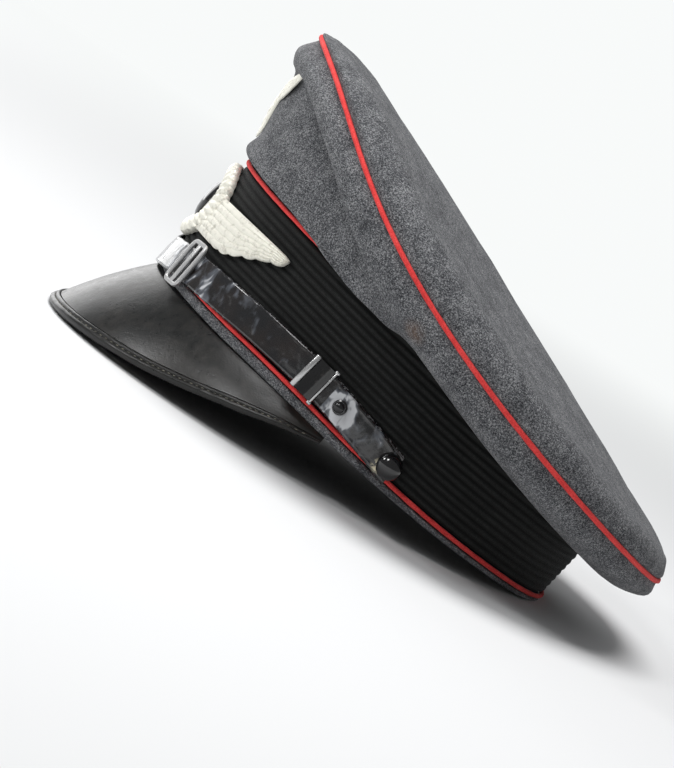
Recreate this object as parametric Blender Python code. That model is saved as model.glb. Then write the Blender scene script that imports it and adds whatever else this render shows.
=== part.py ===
"""Military peaked cap with a ribbed band, cord piping, downturned peak and chin strap.

Metres, +Z up, peak towards -Y, wearer's left towards +X. The cap stands on a floor at z = 0,
on the front of the peak's edge and the back of the welt.
"""
import math

import bmesh
import bpy
from mathutils import Matrix, Vector

# Head opening and band
BAND_LENGTH = 0.2122
BAND_WIDTH = 0.1715
BAND_NARROWING = 0.04      # how much narrower the front of the oval is
BAND_LEAN = 0.0010         # the band's top stands out this much further
BAND_FALL = 0.07           # share by which the band is lower at the back
BAND_HEIGHT = 0.0575       # from the welt's foot to the crown's seam
BAND_CORE = 0.0018         # stiff wall behind the ribs
RIB_COUNT = 12
RIB_DEPTH = 0.0006
WELT_HEIGHT = 0.0042
PIPING_RADIUS = 0.0012
GAP = 0.0003

# Crown
RIM_LENGTH = 0.2580
RIM_WIDTH = 0.2410
RIM_CENTRE = 0.0096        # rim's middle, behind the band's middle
RIM_MEAN = 0.0781          # height of the rim's piping, mean of front and back
RIM_SWING = 0.0374         # the front is this much higher than the mean
RIM_DROOP = 0.0140         # the sides hang below the slope by this
RIM_SKEW = 0.0077          # the front quarters hang more than the rear ones
RIM_SHOULDER = 0.0162      # raises the rim beside the front, at about 35 degrees
RIM_POINT = 0.0122         # draws the rim back there
ROLL = 0.0100              # unit of the tables of the rim's roll
CLOTH = 0.0016

# Peak
PEAK_END = 84.0            # degrees round from the front
PEAK_REACH = 0.0240
PEAK_DROP = 0.0378
PEAK_THICKNESS = 0.0022
PEAK_CAMBER = 0.0013
PEAK_LIP = 0.0004          # the peak's root under the welt's edge
BINDING_WIDTH = 0.0050
BINDING_THICKNESS = 0.0036

# Chin strap and its metalwork
STRAP_WIDTH = 0.0144
STRAP_THICKNESS = 0.0012
STRAP_CLEAR = 0.0027       # over the lower piping
BUTTON_TURN = 97.9
BUTTON_RADIUS = 0.0055
STUD_TURN = 82.3
STUD_RADIUS = 0.0025
STUD_HEIGHT = 0.0049
KEEPER_TURN = 74.5
KEEPER_LENGTH = 0.0170     # across the strap
KEEPER_WIDTH = 0.0100
KEEPER_BAR = 0.0014
KEEPER_DEPTH = 0.0018
BUCKLE_TURN = 27.0
BUCKLE_LENGTH = 0.0204     # across the strap
BUCKLE_WIDTH = 0.0094
BUCKLE_BAR = 0.0015
BUCKLE_DEPTH = 0.0016
SEAT = 0.0005              # clearance under the buckles

# Badges
WING_TURN = 51.0
BADGE_PLATE = 0.0012
BADGE_CLEAR = 0.0010       # between the band and the lower badge
BADGE_HEIGHT = 0.0325      # middle of the lower badge above the welt's foot
BADGE_RADIUS = 0.0172
BADGE_DEPTH = 0.0022
BOSS_RADIUS = 0.0100
BOSS_DEPTH = 0.0026
UPPER_CLEAR = 0.0014       # between the crown and the upper badge

SEGMENTS = 48
FLATTEN = 0.0008           # how much the floor presses the cloth and the binding

# Foot of the band: how far it lifts and how high the welt is, as shares of the welt's height
FOOT_COLUMNS = ("turn", "lift", "welt")
FOOT_ROWS = (
    (0.0, 0.00, 1.00),
    (45.0, 0.14, 1.00),
    (60.0, 0.31, 1.03),
    (75.0, 0.31, 0.97),
    (90.0, 0.10, 0.86),
    (110.0, 0.00, 0.60),
    (135.0, 0.00, 0.50),
    (165.0, -0.10, 0.42),
    (180.0, -0.12, 0.40),
)

# Rim's roll below the piping, in units of ROLL: outward and up from the band's top edge for the
# foot and the waist, inward and down from the rim for the notch, the belly and the cheek.
ROLL_COLUMNS = ("turn", "foot_out", "foot_up", "waist_out", "waist_up", "notch_in", "notch_down",
                "belly_in", "belly_down", "cheek_in", "cheek_down")
ROLL_ROWS = (
    (0.0, 0.56, 0.30, 0.46, 1.05, 0.20, 1.95, -0.22, 1.55, -0.44, 0.95),
    (22.0, 0.51, 0.18, 0.48, 0.96, 0.34, 1.84, -0.05, 1.52, -0.32, 0.90),
    (45.0, 0.44, 0.02, 0.50, 0.75, 0.78, 1.22, 0.26, 1.40, -0.18, 0.80),
    (60.0, 0.44, -0.35, 0.62, 0.20, 1.00, 1.35, 0.42, 1.55, -0.12, 0.85),
    (75.0, 0.42, -0.50, 0.85, -0.25, 1.30, 1.42, 0.70, 1.58, -0.08, 0.92),
    (90.0, 0.40, -0.15, 1.00, -0.55, 1.60, 1.32, 0.90, 1.50, -0.05, 0.95),
    (135.0, 0.38, -0.10, 0.75, -1.60, 2.00, 1.30, 1.10, 1.42, 0.00, 0.90),
    (180.0, 0.40, -0.10, 0.52, -1.75, 1.85, 1.25, 1.00, 1.20, -0.05, 0.75),
)

# Top panel: inward from the rim and up from it, in units of ROLL, then flat to the middle.
TOP_COLUMNS = ("turn", "cheek_in", "cheek_up", "shoulder_in", "shoulder_up", "flat_in", "flat_up")
TOP_ROWS = (
    (0.0, 0.00, 0.22, 0.60, 0.28, 2.20, -0.05),
    (30.0, -0.03, 0.45, 1.15, 0.75, 2.50, 0.62),
    (45.0, -0.05, 0.55, 1.20, 1.15, 2.70, 1.02),
    (60.0, -0.04, 0.66, 1.20, 1.34, 2.80, 1.28),
    (90.0, -0.02, 0.78, 1.20, 1.46, 2.80, 1.58),
    (135.0, 0.04, 0.70, 0.95, 1.26, 2.60, 1.58),
    (180.0, 0.14, 0.56, 0.68, 1.00, 2.20, 1.52),
)

# Peak's edge: how far it stands out and drops, as shares of the reach and the drop at the front
PEAK_COLUMNS = ("turn", "reach", "drop")
PEAK_ROWS = (
    (0.0, 1.00, 1.00),
    (20.0, 0.925, 0.926),
    (40.0, 0.68, 0.728),
    (55.0, 0.47, 0.508),
    (65.0, 0.34, 0.322),
    (74.0, 0.22, 0.170),
    (84.0, 0.06, 0.035),
)

# Chin strap: height of its middle above the welt's foot, as a share of the band's height
STRAP_COLUMNS = ("turn", "height")
STRAP_ROWS = (
    (0.0, 0.1078),
    (15.0, 0.1496),
    (27.0, 0.1896),
    (45.0, 0.2365),
    (60.0, 0.2591),
    (75.0, 0.2696),
    (88.0, 0.2383),
    (101.0, 0.1878),
)

# Wing of the lower badge: along the band from the middle to the tip, with its lower and upper
# edge as shares of the band's height
WING_COLUMNS = ("along", "low", "high")
WING_ROWS = (
    (0.22, 0.3565, 0.7043),
    (0.36, 0.3687, 0.7165),
    (0.50, 0.4035, 0.7200),
    (0.62, 0.4557, 0.7235),
    (0.74, 0.5183, 0.7270),
    (0.87, 0.6000, 0.7322),
    (1.00, 0.6922, 0.7374),
)

# Wing of the upper badge: its lower and upper edge as shares of the crown's height at the front
UPPER_COLUMNS = ("turn", "low", "high")
UPPER_ROWS = (
    (0.0, 0.1551, 0.4686),
    (5.0, 0.3031, 0.5122),
    (11.0, 0.3902, 0.5993),
    (17.0, 0.5035, 0.6742),
    (22.0, 0.6341, 0.7387),
)

WOOL = (0.105, 0.110, 0.112)
RED = (0.62, 0.045, 0.045)
BLACK_CLOTH = (0.010, 0.011, 0.011)
BLACK_LEATHER = (0.022, 0.023, 0.023)
SILVER = (0.78, 0.76, 0.70)
DARK_METAL = (0.09, 0.09, 0.09)


def clear_scene():
    for item in list(bpy.data.objects):
        bpy.data.objects.remove(item, do_unlink=True)


def make_material(name, colour, roughness, metallic=0.0):
    material = bpy.data.materials.new(name)
    material.use_nodes = True
    shader = material.node_tree.nodes["Principled BSDF"]
    shader.inputs["Base Color"].default_value = (*colour, 1.0)
    shader.inputs["Roughness"].default_value = roughness
    shader.inputs["Metallic"].default_value = metallic
    material.diffuse_color = (*colour, 1.0)
    return material


def look_up(columns, rows, turn):
    """Values of a table at one place, eased smoothly between its rows."""
    turn = max(rows[0][0], min(rows[-1][0], turn))
    last = len(rows) - 1
    place = 0
    while place < last - 1 and turn > rows[place + 1][0]:
        place += 1
    low, high = rows[place], rows[place + 1]
    share = (turn - low[0]) / (high[0] - low[0])
    before = rows[place - 1] if place > 0 else rows[0]
    after = rows[place + 2] if place + 2 <= last else rows[last]
    values = {}
    for index, name in enumerate(columns):
        if index == 0:
            continue
        slope_low = (high[index] - before[index]) / max(high[0] - before[0], 1e-9)
        slope_high = (after[index] - low[index]) / max(after[0] - low[0], 1e-9)
        if place == 0:
            slope_low = 0.0
        if place == last - 1:
            slope_high = (high[index] - low[index]) / (high[0] - low[0])
        width = high[0] - low[0]
        square, cube = share * share, share * share * share
        values[name] = ((2 * cube - 3 * square + 1) * low[index]
                        + (cube - 2 * square + share) * slope_low * width
                        + (3 * square - 2 * cube) * high[index]
                        + (cube - square) * slope_high * width)
    return values


def band_point(turn, out=0.0, height=0.0):
    """Point on the band's oval, turned in degrees from the front, and moved along its normal."""
    angle = math.radians(turn)
    lean = BAND_LEAN * height / BAND_HEIGHT
    half_width = BAND_WIDTH / 2 * (1 - BAND_NARROWING * math.cos(angle))
    half_length = BAND_LENGTH / 2
    x, y = half_width * math.sin(angle), -half_length * math.cos(angle)
    step = 0.001
    ahead = angle + step
    half_ahead = BAND_WIDTH / 2 * (1 - BAND_NARROWING * math.cos(ahead))
    along = Vector((half_ahead * math.sin(ahead) - x, -half_length * math.cos(ahead) - y, 0.0))
    along.normalize()
    normal = Vector((along.y, -along.x, 0.0))
    share = look_up(FOOT_COLUMNS, FOOT_ROWS, fold(turn))
    welt = WELT_HEIGHT * share["welt"]
    if height < WELT_HEIGHT:
        height *= share["welt"]
    else:
        height = welt + (height - WELT_HEIGHT) * (BAND_HEIGHT - welt) / (BAND_HEIGHT - WELT_HEIGHT)
    level = height * (1 - BAND_FALL * (1 - math.cos(angle)) / 2)
    level += WELT_HEIGHT * share["lift"] * (1 - height / BAND_HEIGHT)
    return Vector((x, y, level)) + normal * (out + lean)


def rim_point(turn, inward=0.0, up=0.0):
    """Point at the crown's rim, moved towards the middle and up."""
    angle = math.radians(turn)
    wave = math.cos(angle)
    side = math.sin(angle) ** 2
    shoulder = side * max(0.0, wave) ** 4
    height = RIM_MEAN + RIM_SWING * wave - RIM_DROOP * side - RIM_SKEW * side * wave
    height += RIM_SHOULDER * shoulder
    x = RIM_WIDTH / 2 * math.sin(angle)
    y = RIM_CENTRE - RIM_LENGTH / 2 * wave + RIM_POINT * shoulder
    outward = Vector((x / RIM_WIDTH ** 2, (y - RIM_CENTRE) / RIM_LENGTH ** 2, 0.0)).normalized()
    return Vector((x, y, height + up)) - outward * inward


def turns(first=0.0, last=360.0, count=SEGMENTS, closed=True):
    steps = count if closed else count - 1
    return [first + (last - first) * index / steps for index in range(count)]


def fold(turn):
    """Turn from the front to the back, the same on both sides."""
    turn = turn % 360.0
    return turn if turn <= 180.0 else 360.0 - turn


def mesh_object(name, material, bm):
    bmesh.ops.recalc_face_normals(bm, faces=bm.faces)
    if bm.calc_volume(signed=True) < 0.0:
        bmesh.ops.reverse_faces(bm, faces=bm.faces)
    mesh = bpy.data.meshes.new(name)
    bm.to_mesh(mesh)
    bm.free()
    mesh.materials.append(material)
    mesh.shade_smooth()
    mesh.set_sharp_from_angle(angle=math.radians(40))
    item = bpy.data.objects.new(name, mesh)
    bpy.context.collection.objects.link(item)
    item.parent = cap
    return item


def loft(sections, wrap_around=True, wrap_section=True):
    """Skin rows of points. A row is one section, closed when wrap_section is set."""
    bm = bmesh.new()
    rows = [[bm.verts.new(point) for point in section] for section in sections]
    count = len(rows[0])
    pairs = len(rows) if wrap_around else len(rows) - 1
    for index in range(pairs):
        one, two = rows[index], rows[(index + 1) % len(rows)]
        for place in range(count if wrap_section else count - 1):
            after = (place + 1) % count
            bm.faces.new((one[place], one[after], two[after], two[place]))
    if not wrap_around:
        bm.faces.new(rows[0])
        bm.faces.new(list(reversed(rows[-1])))
    return bm


def ring_of_band(name, material, profile):
    """A ring round the band from a profile of (outward, height) pairs."""
    sections = [[band_point(turn, out, height) for out, height in profile] for turn in turns()]
    return mesh_object(name, material, loft(sections))


def round_profile(radius, centre_out, centre_height, sides=6):
    pairs = []
    for index in range(sides):
        angle = 2 * math.pi * (index + 0.5) / sides
        pairs.append((centre_out + radius * math.cos(angle),
                      centre_height + radius * math.sin(angle)))
    return pairs


def thicken(outer, depth):
    """Close an open line of (outward, up) pairs into a sheet with the depth on its left."""
    inner = []
    for index, (out, up) in enumerate(outer):
        before = outer[max(index - 1, 0)]
        after = outer[min(index + 1, len(outer) - 1)]
        along_out, along_up = after[0] - before[0], after[1] - before[1]
        length = math.hypot(along_out, along_up)
        inner.append((out - along_up / length * depth, up + along_out / length * depth))
    return list(outer) + list(reversed(inner))


def build_band():
    low = WELT_HEIGHT + 2 * PIPING_RADIUS + 2.2 * GAP
    high = BAND_HEIGHT - 2 * PIPING_RADIUS - 2 * GAP
    core_out = -RIB_DEPTH - 0.0006
    profile = [(core_out - BAND_CORE, 0.0014), (core_out, 0.0014), (core_out, low)]
    pitch = (high - low) / RIB_COUNT
    for index in range(RIB_COUNT):
        profile.append((-RIB_DEPTH, low + pitch * (index + 0.02)))
        profile.append((0.0, low + pitch * (index + 0.5)))
    profile.append((-RIB_DEPTH, high))
    profile.append((core_out, high))
    profile.append((core_out, BAND_HEIGHT + GAP))
    profile.append((core_out - BAND_CORE, BAND_HEIGHT + GAP))
    return ring_of_band("band", black_cloth, profile)


def build_band_trim():
    welt_in = -RIB_DEPTH - 0.0006 + GAP
    welt = [(welt_in, 0.0), (0.0004, 0.0), (0.0008, 0.0006), (0.0008, WELT_HEIGHT - 0.0006),
            (0.0003, WELT_HEIGHT), (welt_in, WELT_HEIGHT)]
    pieces = [ring_of_band("lower_welt", wool, welt)]
    lower = round_profile(PIPING_RADIUS, 0.0006, WELT_HEIGHT + GAP + PIPING_RADIUS)
    pieces.append(ring_of_band("band_lower_piping", red_felt, lower))
    upper = round_profile(PIPING_RADIUS, 0.0004, BAND_HEIGHT - PIPING_RADIUS - 0.5 * GAP)
    pieces.append(ring_of_band("band_upper_piping", red_felt, upper))
    return pieces


def crown_side_section(turn):
    """Section of the crown's side from the band's top edge up to the rim's piping.

    Gives the seam, the outward direction, (outward, up) pairs and for each pair the share of the
    way round from the seam's place to the rim's.
    """
    share = look_up(ROLL_COLUMNS, ROLL_ROWS, fold(turn))
    seam = band_point(turn, 0.0, BAND_HEIGHT + 2 * GAP)
    rim = rim_point(turn)
    outward = (rim_point(turn, -1.0) - rim + band_point(turn, 1.0) - band_point(turn)).normalized()
    span = (rim - seam).dot(outward)
    rise = rim.z - seam.z

    def from_seam(out, up):
        return (out * ROLL, up * ROLL)

    def from_rim(inward, down):
        return (span - inward * ROLL, rise - down * ROLL)

    foot = from_seam(share["foot_out"], share["foot_up"])
    waist = from_seam(share["waist_out"], share["waist_up"])
    notch = from_rim(share["notch_in"], share["notch_down"])
    middle = ((waist[0] * 0.55 + notch[0] * 0.45), (waist[1] * 0.55 + notch[1] * 0.45))
    line = [from_seam(-0.08, 0.04), from_seam(0.26, 0.02), foot, waist, middle, notch,
            from_rim(share["belly_in"], share["belly_down"]),
            from_rim(share["cheek_in"], share["cheek_down"]),
            from_rim(-0.04, 0.26), from_rim(0.24, 0.04)]
    shift = (rim - seam) - outward * span
    shift.z = 0.0
    round_shares = [0.0, 0.0, 0.05, 0.15, 0.45, 0.75, 0.85, 1.0, 1.0, 1.0]
    shifts = [shift * part for part in round_shares + round_shares[::-1]]
    return seam, outward, thicken(line, CLOTH), shifts


def build_crown_side():
    sections = []
    for turn in turns():
        seam, outward, line, shifts = crown_side_section(turn)
        sections.append([seam + outward * out + Vector((0.0, 0.0, up)) + shift
                         for (out, up), shift in zip(line, shifts)])
    return mesh_object("crown_side", wool, loft(sections))


def top_line(turn):
    share = look_up(TOP_COLUMNS, TOP_ROWS, fold(turn))
    return [(0.24 * ROLL, 0.04 * ROLL), (-0.03 * ROLL, 0.26 * ROLL),
            (share["cheek_in"] * ROLL, share["cheek_up"] * ROLL),
            ((share["cheek_in"] * 0.62 + share["shoulder_in"] * 0.38) * ROLL,
             (share["cheek_up"] * 0.32 + share["shoulder_up"] * 0.68) * ROLL),
            (share["shoulder_in"] * ROLL, share["shoulder_up"] * ROLL),
            (share["flat_in"] * ROLL, share["flat_up"] * ROLL)]


def build_crown_top():
    bm = bmesh.new()
    outer, inner = [], []
    middle = (rim_point(0.0) + rim_point(180.0)) / 2 + Vector((0.0, 0.0, 0.0110))
    for turn in turns():
        line = top_line(turn)
        upper = [rim_point(turn, inward, up) for inward, up in line]
        edge = upper[-1]
        for share, lift in ((0.45, 0.0010),):
            point = edge.lerp(middle, share)
            upper.append(point + Vector((0.0, 0.0, lift * math.sin(math.pi * share) * 0.6)))
        lower = []
        for index, point in enumerate(upper):
            depth = CLOTH if index > 1 else CLOTH * 0.8
            inward = Vector((middle.x - point.x, middle.y - point.y, 0.0)).normalized()
            slant = (0.3, 1.0, 1.0, 0.8, 0.4, 0.0, 0.0)[index]
            down = (1.0, 0.1, 0.1, 0.7, 1.0, 1.1, 1.1)[index]
            if index == 0:
                lower.append(point + Vector((0.0, 0.0, depth)) + inward * depth * 0.5)
            else:
                lower.append(point + inward * depth * slant - Vector((0.0, 0.0, depth * down)))
        outer.append([bm.verts.new(point) for point in upper])
        inner.append([bm.verts.new(point) for point in lower])
    top = bm.verts.new(middle)
    under = bm.verts.new(middle - Vector((0.0, 0.0, CLOTH)))
    count = len(outer)
    for index in range(count):
        after = (index + 1) % count
        for rows in (outer, inner):
            for place in range(len(rows[0]) - 1):
                bm.faces.new((rows[index][place], rows[index][place + 1],
                              rows[after][place + 1], rows[after][place]))
        bm.faces.new((outer[index][0], inner[index][0], inner[after][0], outer[after][0]))
        bm.faces.new((outer[index][-1], top, outer[after][-1]))
        bm.faces.new((inner[index][-1], under, inner[after][-1]))
    return mesh_object("crown_top", wool, bm)


def build_crown_piping():
    sections = []
    for turn in turns():
        pairs = round_profile(PIPING_RADIUS, 0.0, 0.0)
        sections.append([rim_point(turn, -out, up) for out, up in pairs])
    return mesh_object("crown_piping", red_felt, loft(sections))


def peak_edge(turn):
    share = look_up(PEAK_COLUMNS, PEAK_ROWS, abs(turn))
    root = band_point(turn, PEAK_LIP / 2, -PEAK_LIP)
    normal = band_point(turn, 1.0) - band_point(turn)
    edge = root + normal * (PEAK_REACH * share["reach"]) - Vector((0, 0, PEAK_DROP * share["drop"]))
    slope = edge - root
    away = slope.normalized()
    upward = Vector((-normal.x * away.z, -normal.y * away.z, normal.length * math.hypot(away.x, away.y)))
    return root, edge, away, upward.normalized(), normal


def taper(turn):
    """How thick and wide the peak still is: it thins out towards its two ends."""
    return min(1.0, 0.34 + 0.66 * (PEAK_END - abs(turn)) / 16.0)


def build_peak():
    sections = []
    for turn in turns(-PEAK_END, PEAK_END, 27, closed=False):
        root, edge, away, upward, normal = peak_edge(turn)
        over, under = [], []
        for share in (0.0, 0.33, 0.67, 1.0):
            full = min(1.0, (edge - root).length / (0.8 * PEAK_DROP))
            bulge = PEAK_CAMBER * 4 * share * (1 - share) * full
            point = root.lerp(edge, share) + upward * bulge
            over.append(point)
            under.append(point - upward * PEAK_THICKNESS * taper(turn))
        lip = normal * -PEAK_LIP - Vector((0.0, 0.0, PEAK_THICKNESS * taper(turn)))
        under[0] = root + lip
        sections.append(over + list(reversed(under)))
    return mesh_object("peak", black_leather, loft(sections, wrap_around=False))


def build_binding():
    sections = []
    half = BINDING_THICKNESS / 2
    for turn in turns(-PEAK_END, PEAK_END, 27, closed=False):
        root, edge, away, upward, normal = peak_edge(turn)
        size = taper(turn)
        start = edge - upward * (PEAK_THICKNESS * size / 2) + away * GAP
        pairs = ((0.0, -half * 0.7), (0.0, half * 0.7), (0.20, half * 1.0), (0.42, half * 0.9),
                 (0.52, half * 0.72), (0.75, half * 0.95), (1.0, half * 0.45), (1.0, -half * 0.5),
                 (0.7, -half), (0.2, -half))
        sections.append([start + (away * (along * BINDING_WIDTH) + upward * up) * size
                         for along, up in pairs])
    return mesh_object("peak_binding", black_leather, loft(sections, wrap_around=False))


def strap_face(turn, across, lift):
    """Point on the strap: across from -1 at the lower edge to 1 at the upper one."""
    height = look_up(STRAP_COLUMNS, STRAP_ROWS, abs(turn))["height"] * BAND_HEIGHT
    lean = STRAP_CLEAR * 0.185 * (1 - across)
    return band_point(turn, STRAP_CLEAR * 0.63 + lean + lift, height + across * STRAP_WIDTH / 2)


def strip(name, material, first, last, count, lift, thickness, width=1.0, round_end=0.0):
    sections = []
    for index, turn in enumerate(turns(first, last, count, closed=False)):
        share = index / (count - 1)
        half = width
        if round_end and share > 0.6:
            half = width * math.sqrt(max(0.12, 1 - ((share - 0.6) / 0.4) ** 2 * round_end))
        across = (-half, 0.0, half)
        over = [strap_face(turn, place, lift + thickness) for place in across]
        under = [strap_face(turn, place, lift) for place in reversed(across)]
        sections.append(over + under)
    return mesh_object(name, material, loft(sections, wrap_around=False))


def on_strap(turn, lift):
    """Frame on the strap: along it, across it upwards, and outward."""
    centre = strap_face(turn, 0.0, lift)
    along = (strap_face(turn + 0.5, 0.0, lift) - strap_face(turn - 0.5, 0.0, lift)).normalized()
    upward = (strap_face(turn, 1.0, lift) - strap_face(turn, -1.0, lift)).normalized()
    outward = along.cross(upward).normalized()
    upward = outward.cross(along).normalized()
    matrix = Matrix((along, upward, outward)).transposed().to_4x4()
    matrix.translation = centre
    return matrix


def frame_piece(bm, matrix, half_along, half_across, wall, depth, bars=()):
    """A flat rectangular frame with bars across it, as one closed body with rounded corners."""
    columns = [-half_along, -half_along + wall]
    for place in bars:
        columns += [place - wall * 0.45, place + wall * 0.45]
    columns += [half_along - wall, half_along]
    rows = [-half_across, -half_across + wall, half_across - wall, half_across]
    grid = {}
    for side, z in ((0, 0.0), (1, depth)):
        for column, x in enumerate(columns):
            for row, y in enumerate(rows):
                corner = column in (0, len(columns) - 1) and row in (0, 3)
                pull = wall * 0.30 if corner else 0.0
                place = Vector((x - math.copysign(pull, x), y - math.copysign(pull, y), z))
                grid[side, column, row] = bm.verts.new(matrix @ place)
    filled = set()
    for column in range(len(columns) - 1):
        for row in range(3):
            if column % 2 == 0 or row != 1:
                filled.add((column, row))
    for column, row in filled:
        for side in (0, 1):
            bm.faces.new([grid[side, column, row], grid[side, column + 1, row],
                          grid[side, column + 1, row + 1], grid[side, column, row + 1]])
        for step, first, second in (((-1, 0), (0, 0), (0, 1)), ((1, 0), (1, 0), (1, 1)),
                                    ((0, -1), (0, 0), (1, 0)), ((0, 1), (0, 1), (1, 1))):
            if (column + step[0], row + step[1]) in filled:
                continue
            one = (column + first[0], row + first[1])
            two = (column + second[0], row + second[1])
            bm.faces.new([grid[0, one[0], one[1]], grid[0, two[0], two[1]],
                          grid[1, two[0], two[1]], grid[1, one[0], one[1]]])


def turned(bm, matrix, profile, steps):
    """A turned solid from (radius, height) pairs, about the frame's outward axis."""
    rings = []
    for radius, height in profile:
        if radius == 0.0:
            rings.append([bm.verts.new(matrix @ Vector((0.0, 0.0, height)))])
            continue
        ring = []
        for index in range(steps):
            angle = 2 * math.pi * index / steps
            place = Vector((radius * math.cos(angle), radius * math.sin(angle), height))
            ring.append(bm.verts.new(matrix @ place))
        rings.append(ring)
    for low, high in zip(rings, rings[1:]):
        for index in range(steps):
            after = (index + 1) % steps
            if len(low) == 1:
                bm.faces.new((low[0], high[index], high[after]))
            elif len(high) == 1:
                bm.faces.new((low[index], low[after], high[0]))
            else:
                bm.faces.new((low[index], low[after], high[after], high[index]))


def build_strap():
    strip("chin_strap", black_leather, -BUTTON_TURN - 1.5, BUTTON_TURN + 1.5, 41, 0.0, STRAP_THICKNESS)
    tab_lift = STRAP_THICKNESS + GAP
    for side, sign in (("left", 1), ("right", -1)):
        first, last = sign * (KEEPER_TURN + 4.6), sign * (BUTTON_TURN + 2.5)
        strip("strap_end_" + side, black_leather, first, last, 10, tab_lift, STRAP_THICKNESS,
              width=0.94, round_end=0.75)

        bm = bmesh.new()
        matrix = on_strap(sign * BUCKLE_TURN, STRAP_THICKNESS + SEAT)
        frame_piece(bm, matrix, BUCKLE_WIDTH / 2, BUCKLE_LENGTH / 2, BUCKLE_BAR, BUCKLE_DEPTH,
                    bars=(0.0,))
        mesh_object("front_buckle_" + side, dark_metal, bm)

        bm = bmesh.new()
        matrix = on_strap(sign * KEEPER_TURN, STRAP_THICKNESS + SEAT)
        frame_piece(bm, matrix, KEEPER_WIDTH / 2, KEEPER_LENGTH / 2, KEEPER_BAR, KEEPER_DEPTH)
        mesh_object("keeper_" + side, dark_metal, bm)

        bm = bmesh.new()
        matrix = on_strap(sign * STUD_TURN, tab_lift + STRAP_THICKNESS + GAP)
        stud = [(0.0, 0.0)]
        for share, height in ((0.55, 0.0), (1.0, 0.10), (0.62, 0.18), (0.80, 0.29), (1.0, 0.53),
                              (0.86, 0.78), (0.50, 0.94)):
            stud.append((STUD_RADIUS * share, STUD_HEIGHT * height))
        stud.append((0.0, STUD_HEIGHT))
        turned(bm, matrix, stud, 8)
        mesh_object("strap_stud_" + side, dark_metal, bm)

        bm = bmesh.new()
        matrix = on_strap(sign * BUTTON_TURN, tab_lift + STRAP_THICKNESS + GAP)
        button = [(0.0, 0.0)]
        for share, height in ((0.60, 0.0), (0.97, 0.13), (1.0, 0.34), (0.93, 0.62), (0.74, 0.88),
                              (0.42, 1.06)):
            button.append((BUTTON_RADIUS * share, BUTTON_RADIUS * height))
        button.append((0.0, BUTTON_RADIUS * 1.13))
        turned(bm, matrix, button, 14)
        mesh_object("side_button_" + side, gloss_black, bm)


def plate_along(points_low, points_high, outward, depth):
    """A plate from two rows of points on a curved face, thickened outward."""
    sections = []
    for low, high, normal in zip(points_low, points_high, outward):
        middle = (low + high) / 2
        raised = normal * depth
        sections.append([low, middle, high, high + raised, middle + raised * 1.5, low + raised])
    return sections


def build_lower_badge():
    """A plain disc and ring with a plain stepped wing on each side, curved with the band."""
    centre = band_point(0.0, BADGE_CLEAR, BADGE_HEIGHT)
    matrix = Matrix(((1, 0, 0), (0, 0, -1), (0, 1, 0))).to_4x4()
    matrix.translation = centre
    for side, sign in (("left", 1), ("right", -1)):
        low, high, normals = [], [], []
        for row in WING_ROWS:
            turn = sign * row[0] * WING_TURN
            stand = BADGE_CLEAR * (2.6 - row[0])
            low.append(band_point(turn, stand, row[1] * BAND_HEIGHT))
            high.append(band_point(turn, stand, row[2] * BAND_HEIGHT))
            normals.append(band_point(turn, 1.0) - band_point(turn))
        sections = plate_along(low, high, normals, BADGE_PLATE)
        mesh_object("lower_badge_wing_" + side, silver, loft(sections, wrap_around=False))
    bm = bmesh.new()
    floor = BADGE_DEPTH * 0.64
    inner = BOSS_RADIUS * 1.08
    turned(bm, matrix, [(0.0, 0.0), (BADGE_RADIUS * 0.47, 0.0),
                        (BADGE_RADIUS * 0.977, BADGE_DEPTH * 0.14), (BADGE_RADIUS, BADGE_DEPTH * 0.55),
                        (BADGE_RADIUS * 0.90, BADGE_DEPTH), (inner * 1.09, BADGE_DEPTH * 0.91),
                        (inner, floor), (0.0, floor)], 24)
    mesh_object("lower_badge", silver, bm)
    bm = bmesh.new()
    matrix.translation = centre + Vector((0.0, -floor - GAP, 0.0))
    turned(bm, matrix, [(0.0, 0.0), (BOSS_RADIUS, 0.0), (BOSS_RADIUS, BOSS_DEPTH * 0.31),
                        (BOSS_RADIUS * 0.78, BOSS_DEPTH * 0.69), (0.0, BOSS_DEPTH)], 20)
    mesh_object("badge_boss", dark_metal, bm)


def crown_face(turn, height):
    """Point and outward direction on the crown's side at a height over the welt's foot."""
    seam, outward, line, shifts = crown_side_section(turn)
    want = height - seam.z
    outer = line[2:10]
    for index, ((out_a, up_a), (out_b, up_b)) in enumerate(zip(outer, outer[1:])):
        if up_a <= want <= up_b or index == len(outer) - 2:
            share = (want - up_a) / (up_b - up_a)
            out = out_a + (out_b - out_a) * share
            shift = shifts[index + 2].lerp(shifts[index + 3], share)
            slope = Vector((0.0, 0.0, out_a - out_b)) + outward * (up_b - up_a)
            return seam + outward * out + Vector((0.0, 0.0, want)) + shift, slope.normalized()


def build_upper_badge():
    """A small lozenge with a plain upswept wing on each side, on the crown's front."""
    foot = band_point(0.0, 0.0, BAND_HEIGHT + 2 * GAP).z
    rise = rim_point(0.0).z - foot
    rows = [(-turn, low, high) for turn, low, high in reversed(UPPER_ROWS[1:])] + list(UPPER_ROWS)
    sections = []
    for turn, low, high in rows:
        row = []
        for share in (low, (low + high) / 2, high):
            point, normal = crown_face(turn, foot + share * rise)
            row.append((point + normal * UPPER_CLEAR, normal))
        raised = [(point + normal * BADGE_PLATE * (1.6 if index == 1 else 1.0))
                  for index, (point, normal) in enumerate(row)]
        sections.append([row[0][0], row[1][0], row[2][0], raised[2], raised[1], raised[0]])
    mesh_object("upper_badge", silver, loft(sections, wrap_around=False))


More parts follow.
